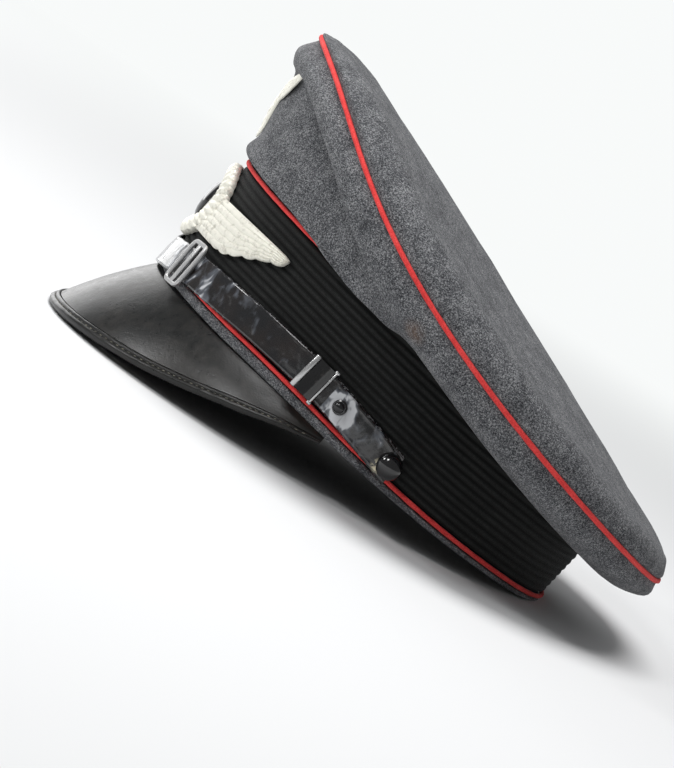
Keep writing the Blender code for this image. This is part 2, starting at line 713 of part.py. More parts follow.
def rest_on_floor(pieces):
    """Tilt the cap back until the peak's front edge and the welt's back edge are level."""
    front = min((vertex.co for vertex in pieces["peak_binding"].data.vertices), key=lambda co: co.z)
    back = max((vertex.co for vertex in pieces["lower_welt"].data.vertices if vertex.co.z < 1e-5),
               key=lambda co: co.y)
    angle = math.atan2(back.z - front.z, back.y - front.y)
    tilt = Matrix.Rotation(-angle, 4, "X")
    level = (tilt @ front).z + FLATTEN
    spread = [(tilt @ vertex.co).y for item in pieces.values() for vertex in item.data.vertices]
    middle = (min(spread) + max(spread)) / 2
    cap.matrix_world = Matrix.Translation((0.0, -middle, -level)) @ tilt
    for name in ("peak_binding", "lower_welt"):
        flatten(pieces[name])


def flatten(item):
    """Cut off what would be under the floor and close the cut with a flat face."""
    bm = bmesh.new()
    bm.from_mesh(item.data)
    to_cap = cap.matrix_world.inverted()
    origin = to_cap @ Vector((0.0, 0.0, 0.0))
    normal = (to_cap.to_3x3() @ Vector((0.0, 0.0, 1.0))).normalized()
    whole = list(bm.verts) + list(bm.edges) + list(bm.faces)
    bmesh.ops.bisect_plane(bm, geom=whole, dist=1e-7, plane_co=origin, plane_no=normal,
                           clear_inner=True, clear_outer=False)
    edges = [edge for edge in bm.edges if edge.is_boundary]
    bmesh.ops.holes_fill(bm, edges=edges, sides=0)
    bmesh.ops.remove_doubles(bm, verts=bm.verts, dist=2e-5)
    bmesh.ops.recalc_face_normals(bm, faces=bm.faces)
    bm.to_mesh(item.data)
    bm.free()


clear_scene()
wool = make_material("grey_wool", WOOL, 0.95)
red_felt = make_material("red_felt", RED, 0.85)
black_cloth = make_material("black_ribbed_cloth", BLACK_CLOTH, 0.8)
black_leather = make_material("black_leather", BLACK_LEATHER, 0.35)
gloss_black = make_material("gloss_black", BLACK_LEATHER, 0.1)
dark_metal = make_material("dark_metal", DARK_METAL, 0.35, 0.8)
silver = make_material("silver_metal", SILVER, 0.4, 0.9)

cap = bpy.data.objects.new("cap", None)
bpy.context.collection.objects.link(cap)

build_band()
build_band_trim()
build_crown_side()
build_crown_top()
build_crown_piping()
build_peak()
build_binding()
build_strap()
build_lower_badge()
build_upper_badge()
rest_on_floor({item.name: item for item in cap.children})
bpy.context.view_layer.update()
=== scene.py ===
import math

import bmesh
import bpy
from mathutils import Matrix, Vector, noise


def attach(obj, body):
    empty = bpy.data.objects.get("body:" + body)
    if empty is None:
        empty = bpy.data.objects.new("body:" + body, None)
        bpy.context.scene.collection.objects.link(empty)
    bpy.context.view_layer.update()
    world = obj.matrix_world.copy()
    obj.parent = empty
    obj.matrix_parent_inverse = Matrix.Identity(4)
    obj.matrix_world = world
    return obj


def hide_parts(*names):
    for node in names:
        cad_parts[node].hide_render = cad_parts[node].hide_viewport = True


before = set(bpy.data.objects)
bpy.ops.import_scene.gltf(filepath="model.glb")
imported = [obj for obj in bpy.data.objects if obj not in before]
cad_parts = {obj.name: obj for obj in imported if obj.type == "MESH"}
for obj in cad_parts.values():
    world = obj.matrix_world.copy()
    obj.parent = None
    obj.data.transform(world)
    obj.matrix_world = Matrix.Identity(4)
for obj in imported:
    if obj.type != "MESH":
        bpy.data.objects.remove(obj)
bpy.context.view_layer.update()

# The cap's own frame: x to the wearer's left, y to the back, z up from the welt's foot.
cap = {
    "bandLength": 0.2122, "bandWidth": 0.1715, "bandNarrowing": 0.04, "bandLean": 0.0010,
    "bandFall": 0.07, "bandHeight": 0.0575,
    "rimLength": 0.2580, "rimWidth": 0.2410, "rimCentre": 0.0096,
    "rimMean": 0.0781, "rimSwing": 0.0374, "rimDroop": 0.0140, "rimSkew": 0.0077,
    "rimShoulder": 0.0162, "rimPoint": 0.0122,
    "weltHeight": 0.0042, "pipingRadius": 0.0012, "gap": 0.0003,
    "restTilt": -10.335141, "restShift": (0.0, -0.0031831, 0.0186545),
    # turn from the front, lift of the band's foot and height of the welt as shares of the welt's
    "foot": ((0.0, 0.00, 1.00), (45.0, 0.14, 1.00), (60.0, 0.31, 1.03), (75.0, 0.31, 0.97),
             (90.0, 0.10, 0.86), (110.0, 0.00, 0.60), (135.0, 0.00, 0.50), (165.0, -0.10, 0.42),
             (180.0, -0.12, 0.40)),
}
rest = Matrix.Translation(cap["restShift"]) @ Matrix.Rotation(math.radians(cap["restTilt"]), 4, "X")
restBack = rest.inverted()


# Places on the cap

def easeTable(rows, turn):
    # values of a table at one turn, eased between its rows
    turn = max(rows[0][0], min(rows[-1][0], turn))
    last = len(rows) - 1
    place = 0
    while place < last - 1 and turn > rows[place + 1][0]:
        place += 1
    low, high = rows[place], rows[place + 1]
    width = high[0] - low[0]
    share = (turn - low[0]) / width
    before = rows[max(place - 1, 0)]
    after = rows[min(place + 2, last)]
    square, cube = share * share, share ** 3
    values = []
    for index in range(1, len(low)):
        slopeLow = (high[index] - before[index]) / (high[0] - before[0]) if place else 0.0
        slopeHigh = (after[index] - low[index]) / (after[0] - low[0])
        values.append((2 * cube - 3 * square + 1) * low[index]
                      + (cube - 2 * square + share) * slopeLow * width
                      + (3 * square - 2 * cube) * high[index]
                      + (cube - square) * slopeHigh * width)
    return values


def upBy(height):
    return Vector((0.0, 0.0, height))


def bandPlan(turn):
    angle = math.radians(turn)
    half = cap["bandWidth"] / 2 * (1 - cap["bandNarrowing"] * math.cos(angle))
    return Vector((half * math.sin(angle), -cap["bandLength"] / 2 * math.cos(angle), 0.0))


def bandNormal(turn):
    along = (bandPlan(turn + 0.05) - bandPlan(turn - 0.05)).normalized()
    return Vector((along.y, -along.x, 0.0))


def foldTurn(turn):
    turn = turn % 360.0
    return turn if turn <= 180.0 else 360.0 - turn


def bandPoint(turn, out=0.0, height=0.0):
    whole, weltHeight = cap["bandHeight"], cap["weltHeight"]
    lean = cap["bandLean"] * height / whole
    lift, share = easeTable(cap["foot"], foldTurn(turn))
    welt = weltHeight * share
    if height < weltHeight:
        height *= share
    else:
        height = welt + (height - weltHeight) * (whole - welt) / (whole - weltHeight)
    level = height * (1 - cap["bandFall"] * (1 - math.cos(math.radians(turn))) / 2)
    level += weltHeight * lift * (1 - height / whole)
    return bandPlan(turn) + bandNormal(turn) * (out + lean) + upBy(level)


def rimPoint(turn, inward=0.0, up=0.0):
    angle = math.radians(turn)
    wave, side = math.cos(angle), math.sin(angle) ** 2
    shoulder = side * max(0.0, wave) ** 4
    height = (cap["rimMean"] + cap["rimSwing"] * wave - cap["rimDroop"] * side
              - cap["rimSkew"] * side * wave + cap["rimShoulder"] * shoulder)
    x = cap["rimWidth"] / 2 * math.sin(angle)
    y = cap["rimCentre"] - cap["rimLength"] / 2 * wave + cap["rimPoint"] * shoulder
    outward = Vector((x / cap["rimWidth"] ** 2, (y - cap["rimCentre"]) / cap["rimLength"] ** 2, 0.0))
    return Vector((x, y, height + up)) - outward.normalized() * inward


def overFloor(point):
    # a point that would dip under the floor is laid on it
    world = rest @ point
    if world.z >= 0.0:
        return point
    world.z = 0.0
    return restBack @ world


def ripple(point, size, height, seed):
    # soft unevenness, the same each run
    return height * noise.noise(point / size + Vector((seed, seed * 0.7, seed * 1.3)))


# Meshes

def finishPiece(name, bm, material, nodes, angle=40.0):
    for vert in bm.verts:
        vert.co = rest @ vert.co
    mesh = bpy.data.meshes.new(name)
    bm.to_mesh(mesh)
    bm.free()
    mesh.materials.append(material)
    mesh.shade_smooth()
    mesh.set_sharp_from_angle(angle=math.radians(angle))
    piece = bpy.data.objects.new(name, mesh)
    bpy.context.collection.objects.link(piece)
    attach(piece, "root")
    if nodes:
        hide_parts(*nodes)
    return piece


def wrapSheet(around, across, place, sizes=(1.0, 1.0), weld=True, capEnds=False):
    # a grid whose points are carried to their places: place(u, v) with u and v from 0 to 1
    bm = bmesh.new()
    uvs = bm.loops.layers.uv.new("UVMap")
    bmesh.ops.create_grid(bm, x_segments=around, y_segments=across, size=0.5, calc_uvs=True)
    for face in bm.faces:
        for loop in face.loops:
            u, v = loop.vert.co.x + 0.5, loop.vert.co.y + 0.5
            loop[uvs].uv = (u * sizes[0], v * sizes[1])
    for vert in bm.verts:
        vert.co = place(vert.co.x + 0.5, vert.co.y + 0.5)
    if weld:
        bmesh.ops.remove_doubles(bm, verts=bm.verts, dist=1e-6)
    if capEnds:
        bmesh.ops.holes_fill(bm, edges=[edge for edge in bm.edges if edge.is_boundary], sides=0)
    bmesh.ops.recalc_face_normals(bm, faces=bm.faces)
    return bm


def layRows(rows, sizes):
    # the same from rows of points, one row for each step along u
    return wrapSheet(len(rows) - 1, len(rows[0]) - 1, lambda u, v: pick(pick(rows, u), v), sizes)


def pick(line, share):
    # the point of a section at a share of its steps
    return line[round(share * (len(line) - 1))]


def mapAcross(bm, places):
    # the way across the map, from one value for each point of the section
    uvs = bm.loops.layers.uv.active
    for face in bm.faces:
        for loop in face.loops:
            loop[uvs].uv.y = pick(places, loop[uvs].uv.y)


def smoothLine(points, steps):
    # a soft curve through the points, with so many steps between each two
    line = []
    last = len(points) - 1
    for index in range(last):
        before, low = points[max(index - 1, 0)], points[index]
        high, after = points[index + 1], points[min(index + 2, last)]
        for step in range(steps):
            t = step / steps
            line.append(0.5 * (2 * low + (high - before) * t
                               + (2 * before - 5 * low + 4 * high - after) * t ** 2
                               + (3 * low - before - 3 * high + after) * t ** 3))
    return line + [points[last]]


# Materials

def addNode(tree, kind, inputs=None, **settings):
    item = tree.nodes.new("ShaderNode" + kind)
    for key, value in settings.items():
        setattr(item, key, value)
    for key, value in (inputs or {}).items():
        if isinstance(value, bpy.types.NodeSocket):
            tree.links.new(value, item.inputs[key])
        else:
            item.inputs[key].default_value = value
    return item


# The helpers below find the material's tree by the sockets that they are given.

def noiseOf(where, scale, detail=4.0, roughness=0.6, distortion=0.0):
    inputs = {"Vector": where, "Scale": scale, "Detail": detail, "Roughness": roughness,
              "Distortion": distortion}
    return addNode(where.id_data, "TexNoise", inputs).outputs["Fac"]


def cellsOf(where, scale):
    return addNode(where.id_data, "TexVoronoi", {"Vector": where, "Scale": scale}).outputs


def stretched(where, scale, turn=(0.0, 0.0, 0.0)):
    inputs = {"Vector": where, "Scale": scale, "Rotation": turn}
    return addNode(where.id_data, "Mapping", inputs).outputs[0]


def partsOf(vector):
    return addNode(vector.id_data, "SeparateXYZ", {0: vector}).outputs


def rampOf(value, stops):
    ramp = addNode(value.id_data, "ValToRGB", {"Fac": value})
    points = ramp.color_ramp.elements
    while len(points) < len(stops):
        points.new(0.5)
    for point, (place, colour) in zip(points, stops):
        point.position = place
        point.color = (*colour, 1.0) if isinstance(colour, tuple) else (colour, colour, colour, 1.0)
    return ramp.outputs["Color"]


def stepOf(value, low, high, top=1.0):
    return rampOf(value, ((low, 0.0), (high, top)))


def mathOf(operation, first, second=0.0, clamp=False):
    inputs = {0: first, 1: second}
    return addNode(first.id_data, "Math", inputs, operation=operation, use_clamp=clamp).outputs[0]


def timesOf(first, second):
    return mathOf("MULTIPLY", first, second)


def sumOf(*parts):
    # the sum of some values, each times its weight
    total = None
    for value, weight in parts:
        part = value if weight == 1.0 else timesOf(value, weight)
        total = part if total is None else mathOf("ADD", total, part)
    return total


def mapOf(value, low, high, first, last, kind="LINEAR"):
    # first at low and under it, last at high and over it
    inputs = {0: value, 1: low, 2: high, 3: first, 4: last}
    return addNode(value.id_data, "MapRange", inputs, interpolation_type=kind).outputs[0]


def blendOf(share, first, second):
    # a colour between two, each a plain colour or another node's
    mix = addNode(share.id_data, "Mix", {0: share}, data_type="RGBA")
    for index, value in ((6, first), (7, second)):
        if isinstance(value, bpy.types.NodeSocket):
            share.id_data.links.new(value, mix.inputs[index])
        else:
            mix.inputs[index].default_value = (*value, 1.0)
    return mix.outputs[2]


def spotMask(where, centre, radius, soft):
    # 1 inside a round spot in space, 0 outside it
    inputs = {0: where, 1: tuple(rest @ Vector(centre))}
    away = addNode(where.id_data, "VectorMath", inputs, operation="DISTANCE").outputs["Value"]
    return mapOf(away, radius * (1 - soft), radius, 1.0, 0.0, "SMOOTHSTEP")


def ownMap(where):
    # the piece's own map: the way along it and the way across it
    return partsOf(addNode(where.id_data, "UVMap", uv_map="UVMap").outputs[0])[:2]


def startMaterial(name, fixed):
    material = bpy.data.materials.new(name)
    material.use_nodes = True
    shader = material.node_tree.nodes["Principled BSDF"]
    for key, value in fixed.items():
        shader.inputs[key].default_value = value
    return material, shader, addNode(material.node_tree, "TexCoord").outputs["Object"]


def feed(shader, key, value):
    shader.id_data.links.new(value, shader.inputs[key])


def setColour(shader, colour, rough=None):
    feed(shader, "Base Color", colour)
    if rough is not None:
        feed(shader, "Roughness", rough)


def setBump(shader, height, distance, strength):
    inputs = {"Height": height, "Distance": distance, "Strength": strength}
    feed(shader, "Normal", addNode(shader.id_data, "Bump", inputs).outputs[0])


# In the looks below, a number for a pattern is its scale, and "fixed" holds the shader's own values.

woolLook = {
    "fixed": {"Roughness": 0.95, "Sheen Weight": 0.06, "Sheen Roughness": 0.5,
              "Specular IOR Level": 0.12},
    "dark": (0.022, 0.023, 0.026), "middle": (0.090, 0.092, 0.099), "light": (0.330, 0.334, 0.340),
    "specks": 2600.0, "speckShare": 0.20, "grain": 1650.0, "grainShare": 0.46,
    "hairs": (2100.0, 900.0, 2100.0), "hairTurn": (0.7, 0.4, 0.9), "hairShare": 0.34,
    "patches": 110.0, "mottling": 0.26, "nap": 0.00025,
    "stain": (0.115, 0.062, 0.034), "stainAt": (0.1175, -0.0150, 0.0580), "stainSize": 0.0075,
    "stainMarks": 330.0,
}


def makeWool():
    # milled wool: dark and light hairs in fine specks, no weave to be seen
    look = woolLook
    material, shader, where = startMaterial("greyWool", look["fixed"])
    speck = partsOf(cellsOf(where, look["specks"])["Color"])[0]
    hairs = noiseOf(stretched(where, look["hairs"], look["hairTurn"]), 1.0, 2.0)
    grain = noiseOf(where, look["grain"], 3.0, 0.8)
    patches = mathOf("SUBTRACT", noiseOf(where, look["patches"], 5.0, 0.7), 0.5)
    mixed = sumOf((hairs, look["hairShare"]), (grain, look["grainShare"]),
                  (speck, look["speckShare"]), (patches, look["mottling"]))
    colour = rampOf(mixed, ((0.36, look["dark"]), (0.50, look["middle"]), (0.68, look["light"])))
    stain = spotMask(where, look["stainAt"], look["stainSize"], 0.9)
    stain = timesOf(stain, noiseOf(where, look["stainMarks"], 3.0))
    colour = blendOf(timesOf(stain, 0.95), colour, look["stain"])
    setColour(shader, colour)
    setBump(shader, mixed, look["nap"], 0.8)
    return material


feltLook = {
    "fixed": {"Roughness": 0.9, "Sheen Weight": 0.08, "Specular IOR Level": 0.15},
    "red": (0.760, 0.056, 0.054), "deep": (0.380, 0.022, 0.023), "pale": (0.860, 0.160, 0.145),
    "grain": 1700.0, "patches": 130.0, "nap": 0.00035,
}


def makeFelt():
    look = feltLook
    material, shader, where = startMaterial("redFelt", look["fixed"])
    grain = noiseOf(where, look["grain"], 4.0, 0.75)
    mixed = sumOf((grain, 0.7), (noiseOf(where, look["patches"], 3.0), 0.3))
    colour = rampOf(mixed, ((0.30, look["deep"]), (0.52, look["red"]), (0.74, look["pale"])))
    setColour(shader, colour)
    setBump(shader, grain, look["nap"], 0.8)
    return material


bandLook = {
    "fixed": {"Roughness": 0.78, "Sheen Weight": 0.05, "Sheen Roughness": 0.45,
              "Specular IOR Level": 0.2},
    # the groove colour is painted shade down in the grooves; the last colour is dust together with
    # painted light on the ridges
    "groove": (0.0012, 0.0012, 0.0012), "black": (0.0062, 0.0068, 0.0065),
    "ridgeDustAndLight": (0.0230, 0.0245, 0.0235),
    "threadWidth": 0.00055, "wobble": 500.0, "fluff": 1500.0, "dust": 60.0, "nap": 0.00025,
}


def makeMohair():
    # fine upright threads over the ribs, on the band's map: metres round it, then groove to ridge; the
    # colour is painted darker in the grooves as shade and lighter on the ridges as light, over random
    # fluff and dust
    look = bandLook
    material, shader, where = startMaterial("blackMohair", look["fixed"])
    around, raised = ownMap(where)
    threads = sumOf((around, math.tau / look["threadWidth"]),
                    (noiseOf(where, look["wobble"], 2.0), 3.0))
    threads = mathOf("SINE", threads)
    fluff = noiseOf(where, look["fluff"], 4.0, 0.7)
    share = sumOf((fluff, 0.8), (noiseOf(where, look["dust"], 5.0, 0.7), 0.4))
    # painted shade and light: the share falls towards the grooves, so grooves go near black and ridges
    # go towards the dusty colour
    share = timesOf(share, mapOf(raised, 0.1, 1.0, 0.15, 1.0))
    colour = rampOf(share, ((0.20, look["groove"]), (0.46, look["black"]), (0.80, look["ridgeDustAndLight"])))
    setColour(shader, colour)
    setBump(shader, sumOf((threads, 0.25), (fluff, 1.0)), look["nap"], 0.7)
    return material


peakLook = {
    "fixed": {"Specular IOR Level": 0.38, "Coat Weight": 0.08, "Coat Roughness": 0.25},
    "black": (0.0048, 0.0052, 0.0050), "worn": (0.0150, 0.0125, 0.0100), "scuff": (0.130, 0.120, 0.105),
    "roughness": (0.26, 0.44), "relief": 0.00018,
    "wear": 28.0, "grain": 260.0, "pores": 1300.0,
    "scratches": (900.0, 130.0, 420.0), "scratchTurn": (0.4, 0.2, 0.9), "scratched": 75.0,
    # scuffed spots, each with its radius
    "scuffs": (((0.070, -0.0985, -0.0215), 0.0040), ((0.0520, -0.1105, -0.0250), 0.0030),
               ((-0.060, -0.0990, -0.0240), 0.0035)),
}


def makePeakLeather(name, wearShare):
    look = peakLook
    material, shader, where = startMaterial(name, look["fixed"])
    fine = noiseOf(where, look["grain"], 5.0, 0.7)
    wear = sumOf((noiseOf(where, look["wear"], 5.0, 0.62), 0.7), (fine, 0.3))
    wear = stepOf(wear, 0.46, 0.68, wearShare)
    colour = blendOf(wear, look["black"], look["worn"])
    lines = noiseOf(stretched(where, look["scratches"], look["scratchTurn"]), 1.0, 3.0)
    gate = stepOf(noiseOf(where, look["scratched"], 2.0), 0.55, 0.70)
    marks = timesOf(stepOf(lines, 0.70, 0.78, 0.55), gate)
    scuffs = sumOf(*((timesOf(spotMask(where, centre, size, 0.9), fine), 1.0)
                     for centre, size in look["scuffs"]))
    marks = mathOf("ADD", marks, timesOf(scuffs, 0.6), clamp=True)
    colour = blendOf(timesOf(marks, 0.6), colour, look["scuff"])
    rough = mapOf(mathOf("ADD", fine, marks), 0.3, 0.9, *look["roughness"])
    setColour(shader, colour, rough)
    cells = cellsOf(where, look["pores"])["Distance"]
    setBump(shader, sumOf((cells, 0.25), (fine, 0.9)), look["relief"], 0.55)
    return material


strapLook = {
    "fixed": {"Coat Weight": 0.7, "Coat Roughness": 0.07},
    "lacquer": (0.0050, 0.0055, 0.0070), "brown": (0.012, 0.0085, 0.0075),
    # the silver colour and the white one after it are painted reflection and painted highlight; chip and
    # cream are worn edges and filler
    "silver": (0.080, 0.087, 0.102), "paintedHighlight": (0.52, 0.53, 0.55), "chip": (0.30, 0.30, 0.31),
    "cream": (0.60, 0.54, 0.38), "creamAt": (0.0905, 0.0120, 0.0075), "creamSize": 0.0040,
    "creamMarks": 380.0, "mapMiddle": 0.155, "creases": (95.0, 95.0, 60.0),
    "patches": (190.0, 190.0, 110.0), "browning": 70.0, "chips": 420.0, "grain": 700.0,
    "roughness": (0.16, 0.5), "relief": 0.0015,
    # distance from the strap's middle in fifths of a metre, then the share of silver patches, which are
    # painted reflections on the lacquer
    "strapPaintedReflection": ((0.0, 0.56), (0.12, 0.60), (0.18, 0.80), (0.23, 0.62), (0.32, 0.50), (0.42, 0.20),
                    (0.62, 0.10)),
    "tabPaintedReflection": ((0.0, 0.44), (1.0, 0.44)),
    # spots on the tab with more or less silver: centre, radius and share; the wide spot paints a ring of
    # reflection round the stud, the small one paints shade in the pressed ring under it
    "tabReflectionAndShadeSpots": (((0.0870, -0.0142, 0.0140), 0.0098, 0.62), ((0.0872, -0.0142, 0.0145), 0.0036, -0.9)),
}


def makeLacquerWithPaintedReflections(name, reflectionStops, spots, creasing):
    # creased lacquer on the strap's own map: metres along it, then 0 to 1 across it; its silver patches
    # and white glints are painted reflections and painted highlights, while brown, chips and cream are
    # the strap's own
    look = strapLook
    material, shader, where = startMaterial(name, look["fixed"])
    along, across = ownMap(where)
    along = mathOf("ABSOLUTE", mathOf("SUBTRACT", along, look["mapMiddle"]))
    edge = mathOf("ABSOLUTE", mathOf("SUBTRACT", across, 0.5))
    x, y, z = partsOf(where)
    leftSide = addNode(where.id_data, "CombineXYZ", {0: mathOf("ABSOLUTE", x), 1: y, 2: z}).outputs[0]
    crease = noiseOf(stretched(where, look["creases"]), 1.0, 2.0, 0.45, 0.6)
    patches = noiseOf(stretched(where, look["patches"]), 1.0, 2.0, 0.5, 0.4)
    # painted reflection: silver patches where the noise runs high, more at some places along the strap
    # and round the stud; the highest become a painted highlight
    reflectionAmount = rampOf(timesOf(along, 5.0), reflectionStops)
    reflectionAmount = sumOf((reflectionAmount, 1.0), *((spotMask(leftSide, centre, size, 0.35), share)
                                    for centre, size, share in spots))
    level = sumOf((patches, 1.0), (mathOf("SUBTRACT", reflectionAmount, 0.5), 0.42))
    silver = rampOf(level, ((0.50, 0.0), (0.57, 0.35), (0.64, 1.0)))
    paintedHighlight = stepOf(level, 0.65, 0.72)
    brown = stepOf(noiseOf(where, look["browning"], 3.0), 0.40, 0.62, 0.9)
    chips = stepOf(noiseOf(where, look["chips"], 3.0, 0.7), 0.55, 0.60)
    chips = timesOf(chips, mapOf(edge, 0.44, 0.49, 0.0, 1.0))
    marks = stepOf(noiseOf(where, look["creamMarks"]), 0.40, 0.47)
    cream = timesOf(spotMask(leftSide, look["creamAt"], look["creamSize"], 0.5), marks)
    colour = look["lacquer"]
    for share, kind in ((brown, "brown"), (silver, "silver"), (paintedHighlight, "paintedHighlight"),
                        (timesOf(chips, 0.5), "chip"), (cream, "cream")):
        colour = blendOf(share, colour, look[kind])
    rough = mapOf(mathOf("MAXIMUM", chips, cream), 0.0, 1.0, *look["roughness"])
    setColour(shader, colour, rough)
    height = sumOf((crease, 1.0), (noiseOf(where, look["grain"], 3.0), 0.05), (silver, 0.12))
    setBump(shader, height, look["relief"] * creasing, 0.7)
    return material


metalLook = {
    "paint": (0.010, 0.010, 0.011), "bare": (0.50, 0.50, 0.50), "patches": 240.0, "relief": 0.00003,
    # share of bare metal and its roughness
    "buckle": (0.90, 0.38), "keeper": (1.0, 0.24), "stud": (0.0, 0.36),
}


def makeDarkMetal(name, bareShare, roughness):
    look = metalLook
    material, shader, where = startMaterial(name, {})
    start = 0.70 - bareShare * 0.62
    bare = stepOf(noiseOf(where, look["patches"], 5.0, 0.7), max(0.0, start), start + 0.12)
    setColour(shader, blendOf(bare, look["paint"], look["bare"]),
              mapOf(bare, 0.0, 1.0, 0.10, roughness))
    feed(shader, "Metallic", timesOf(bare, 0.75))
    setBump(shader, noiseOf(where, 500.0, 2.0), look["relief"], 0.4)
    return material


buttonLook = {
    "fixed": {"Coat Weight": 0.5, "Coat Roughness": 0.03}, "black": (0.0040, 0.0040, 0.0045),
    "dirt": (0.024, 0.018, 0.015), "dirtMarks": 350.0, "roughness": (0.06, 0.35), "relief": 0.00004,
}


def makeButtonBlack():
    look = buttonLook
    material, shader, where = startMaterial("buttonLacquer", look["fixed"])
    dirt = stepOf(noiseOf(where, look["dirtMarks"], 5.0, 0.7), 0.58, 0.80)
    setColour(shader, blendOf(dirt, look["black"], look["dirt"]),
              mapOf(dirt, 0.0, 1.0, *look["roughness"]))
    setBump(shader, noiseOf(where, 500.0, 3.0), look["relief"], 0.4)
    return material


badgeLook = {
    "fixed": {"Roughness": 0.46, "Metallic": 0.35}, "silver": (0.80, 0.785, 0.70),
    "grime": (0.27, 0.245, 0.19), "grimeMarks": 480.0, "grimePatches": 90.0, "grain": 1400.0,
    "relief": 0.00010,
}


def makeBadgeMetal():
    look = badgeLook
    material, shader, where = startMaterial("badgeSilver", look["fixed"])
    marks = noiseOf(where, look["grimeMarks"], 5.0, 0.7)
    grime = sumOf((marks, 0.7), (noiseOf(where, look["grimePatches"], 3.0), 0.3))
    grime = stepOf(grime, 0.50, 0.72, 0.8)
    setColour(shader, blendOf(grime, look["silver"], look["grime"]))
    height = mathOf("ADD", marks, noiseOf(where, look["grain"]))
    setBump(shader, height, look["relief"], 0.6)
    return material


wool = makeWool()
felt = makeFelt()
mohair = makeMohair()
peakLeather = makePeakLeather("peakLeather", 1.0)
bindingLeather = makePeakLeather("bindingLeather", 0.6)
strapLacquer = makeLacquerWithPaintedReflections("strapLacquer", strapLook["strapPaintedReflection"], (), 1.0)
tabLacquer = makeLacquerWithPaintedReflections("tabLacquer", strapLook["tabPaintedReflection"], strapLook["tabReflectionAndShadeSpots"], 1.25)
wornMetal = makeDarkMetal("wornMetal", *metalLook["buckle"])
keeperMetal = makeDarkMetal("keeperMetal", *metalLook["keeper"])
studMetal = makeDarkMetal("studMetal", *metalLook["stud"])
buttonBlack = makeButtonBlack()
badgeSilver = makeBadgeMetal()
print("materials made")


# Crown

crown = {
    "roll": 0.0100, "cloth": 0.0016, "around": 240, "steps": 5, "dome": 0.0110,
    # size, height and seed of the soft folds, the unevenness and the finest ripples
    "ripples": ((0.036, 0.00050, 3.0), (0.014, 0.00022, 5.0), (0.005, 0.00010, 8.0)),
    # waves of the lower hem, the row where they are greatest and how many rows they take
    "hemWaves": 0.0008, "hemRow": 11, "hemReach": 7.0,
    "topSteps": 6, "topEdge": 24,
    # turn, then outward and up from the band for the foot and the waist, inward and down from
    # the rim for the notch, the belly and the cheek, in units of the roll
    "side": ((0.0, 0.56, 0.30, 0.46, 1.05, 0.20, 1.95, -0.22, 1.55, -0.44, 0.95),
             (22.0, 0.51, 0.18, 0.46, 0.96, 0.80, 1.58, -0.05, 1.38, -0.32, 0.86),
             (34.0, 0.47, 0.08, 0.42, 0.86, 1.30, 1.22, 0.08, 1.40, -0.24, 0.80),
             (45.0, 0.44, 0.02, 0.44, 0.75, 1.46, 1.02, 0.16, 1.38, -0.18, 0.78),
             (60.0, 0.44, -0.38, 0.58, 0.20, 1.50, 1.16, 0.34, 1.54, -0.12, 0.85),
             (75.0, 0.42, -0.55, 0.85, -0.25, 1.30, 1.42, 0.70, 1.58, -0.08, 0.92),
             (90.0, 0.40, -0.15, 1.00, -0.55, 1.60, 1.32, 0.90, 1.50, -0.05, 0.95),
             (135.0, 0.38, -0.10, 0.75, -1.60, 2.00, 1.30, 1.10, 1.42, 0.00, 0.90),
             (180.0, 0.40, -0.10, 0.52, -1.75, 1.85, 1.25, 1.00, 1.20, -0.05, 0.75)),
    # turn, then inward and up from the rim for the cheek, the shoulder and the flat
    "top": ((0.0, 0.00, 0.22, 0.60, 0.28, 2.20, -0.05),
            (30.0, -0.03, 0.45, 1.15, 0.78, 2.30, 0.55),
            (45.0, -0.05, 0.55, 1.20, 1.20, 2.40, 0.98),
            (60.0, -0.04, 0.66, 1.20, 1.40, 2.45, 1.20),
            (90.0, -0.02, 0.78, 1.20, 1.54, 2.50, 1.46),
            (135.0, 0.04, 0.70, 0.95, 1.28, 2.40, 1.50),
            (180.0, 0.14, 0.56, 0.68, 1.00, 2.20, 1.52)),
}


def crownSideLine(turn):
    # the cloth's outside from the band's top edge to the rim's piping
    roll = crown["roll"]
    values = [value * roll for value in easeTable(crown["side"], foldTurn(turn))]
    footOut, footUp, waistOut, waistUp, notchIn, notchDown = values[:6]
    bellyIn, bellyDown, cheekIn, cheekDown = values[6:]
    seam = bandPoint(turn, 0.0, cap["bandHeight"] + 2 * cap["gap"])
    rim = rimPoint(turn)
    outward = (rimPoint(turn, -1.0) - rim + bandNormal(turn)).normalized()
    span, rise = (rim - seam).dot(outward), rim.z - seam.z
    waist, notch = (waistOut, waistUp), (span - notchIn, rise - notchDown)
    middle = (waist[0] * 0.55 + notch[0] * 0.45, waist[1] * 0.55 + notch[1] * 0.45)
    # from under the band's piping out over the foot, and at the end in under the rim's piping
    line = [(-0.08 * roll, 0.04 * roll), (0.26 * roll, 0.02 * roll), (footOut, footUp), waist, middle,
            notch, (span - bellyIn, rise - bellyDown), (span - cheekIn, rise - cheekDown),
            (span + 0.0004, rise - 0.0026), (span - 0.0006, rise - 0.0003)]
    shift = rim - seam - outward * span
    shift.z = 0.0
    parts = (0.0, 0.0, 0.05, 0.15, 0.45, 0.75, 0.85, 1.0, 1.0, 1.0)
    points = [seam + outward * out + upBy(up) + shift * part
              for (out, up), part in zip(line, parts)]
    return smoothLine(points, crown["steps"]), outward


def softened(point, away, free):
    # folds and unevenness of the cloth, less of them near a seam
    return point + away * (sum(ripple(point, *wave) for wave in crown["ripples"]) * free)


def thickRow(outer, outward):
    # closes a row with the cloth's inside
    inner = []
    for index, point in enumerate(outer):
        along = outer[min(index + 1, len(outer) - 1)] - outer[max(index - 1, 0)]
        side = upBy(1.0) * along.dot(outward) - outward * along.z
        inner.append(point + side.normalized() * crown["cloth"])
    return outer + inner[::-1][::3] + [inner[0], outer[0]]


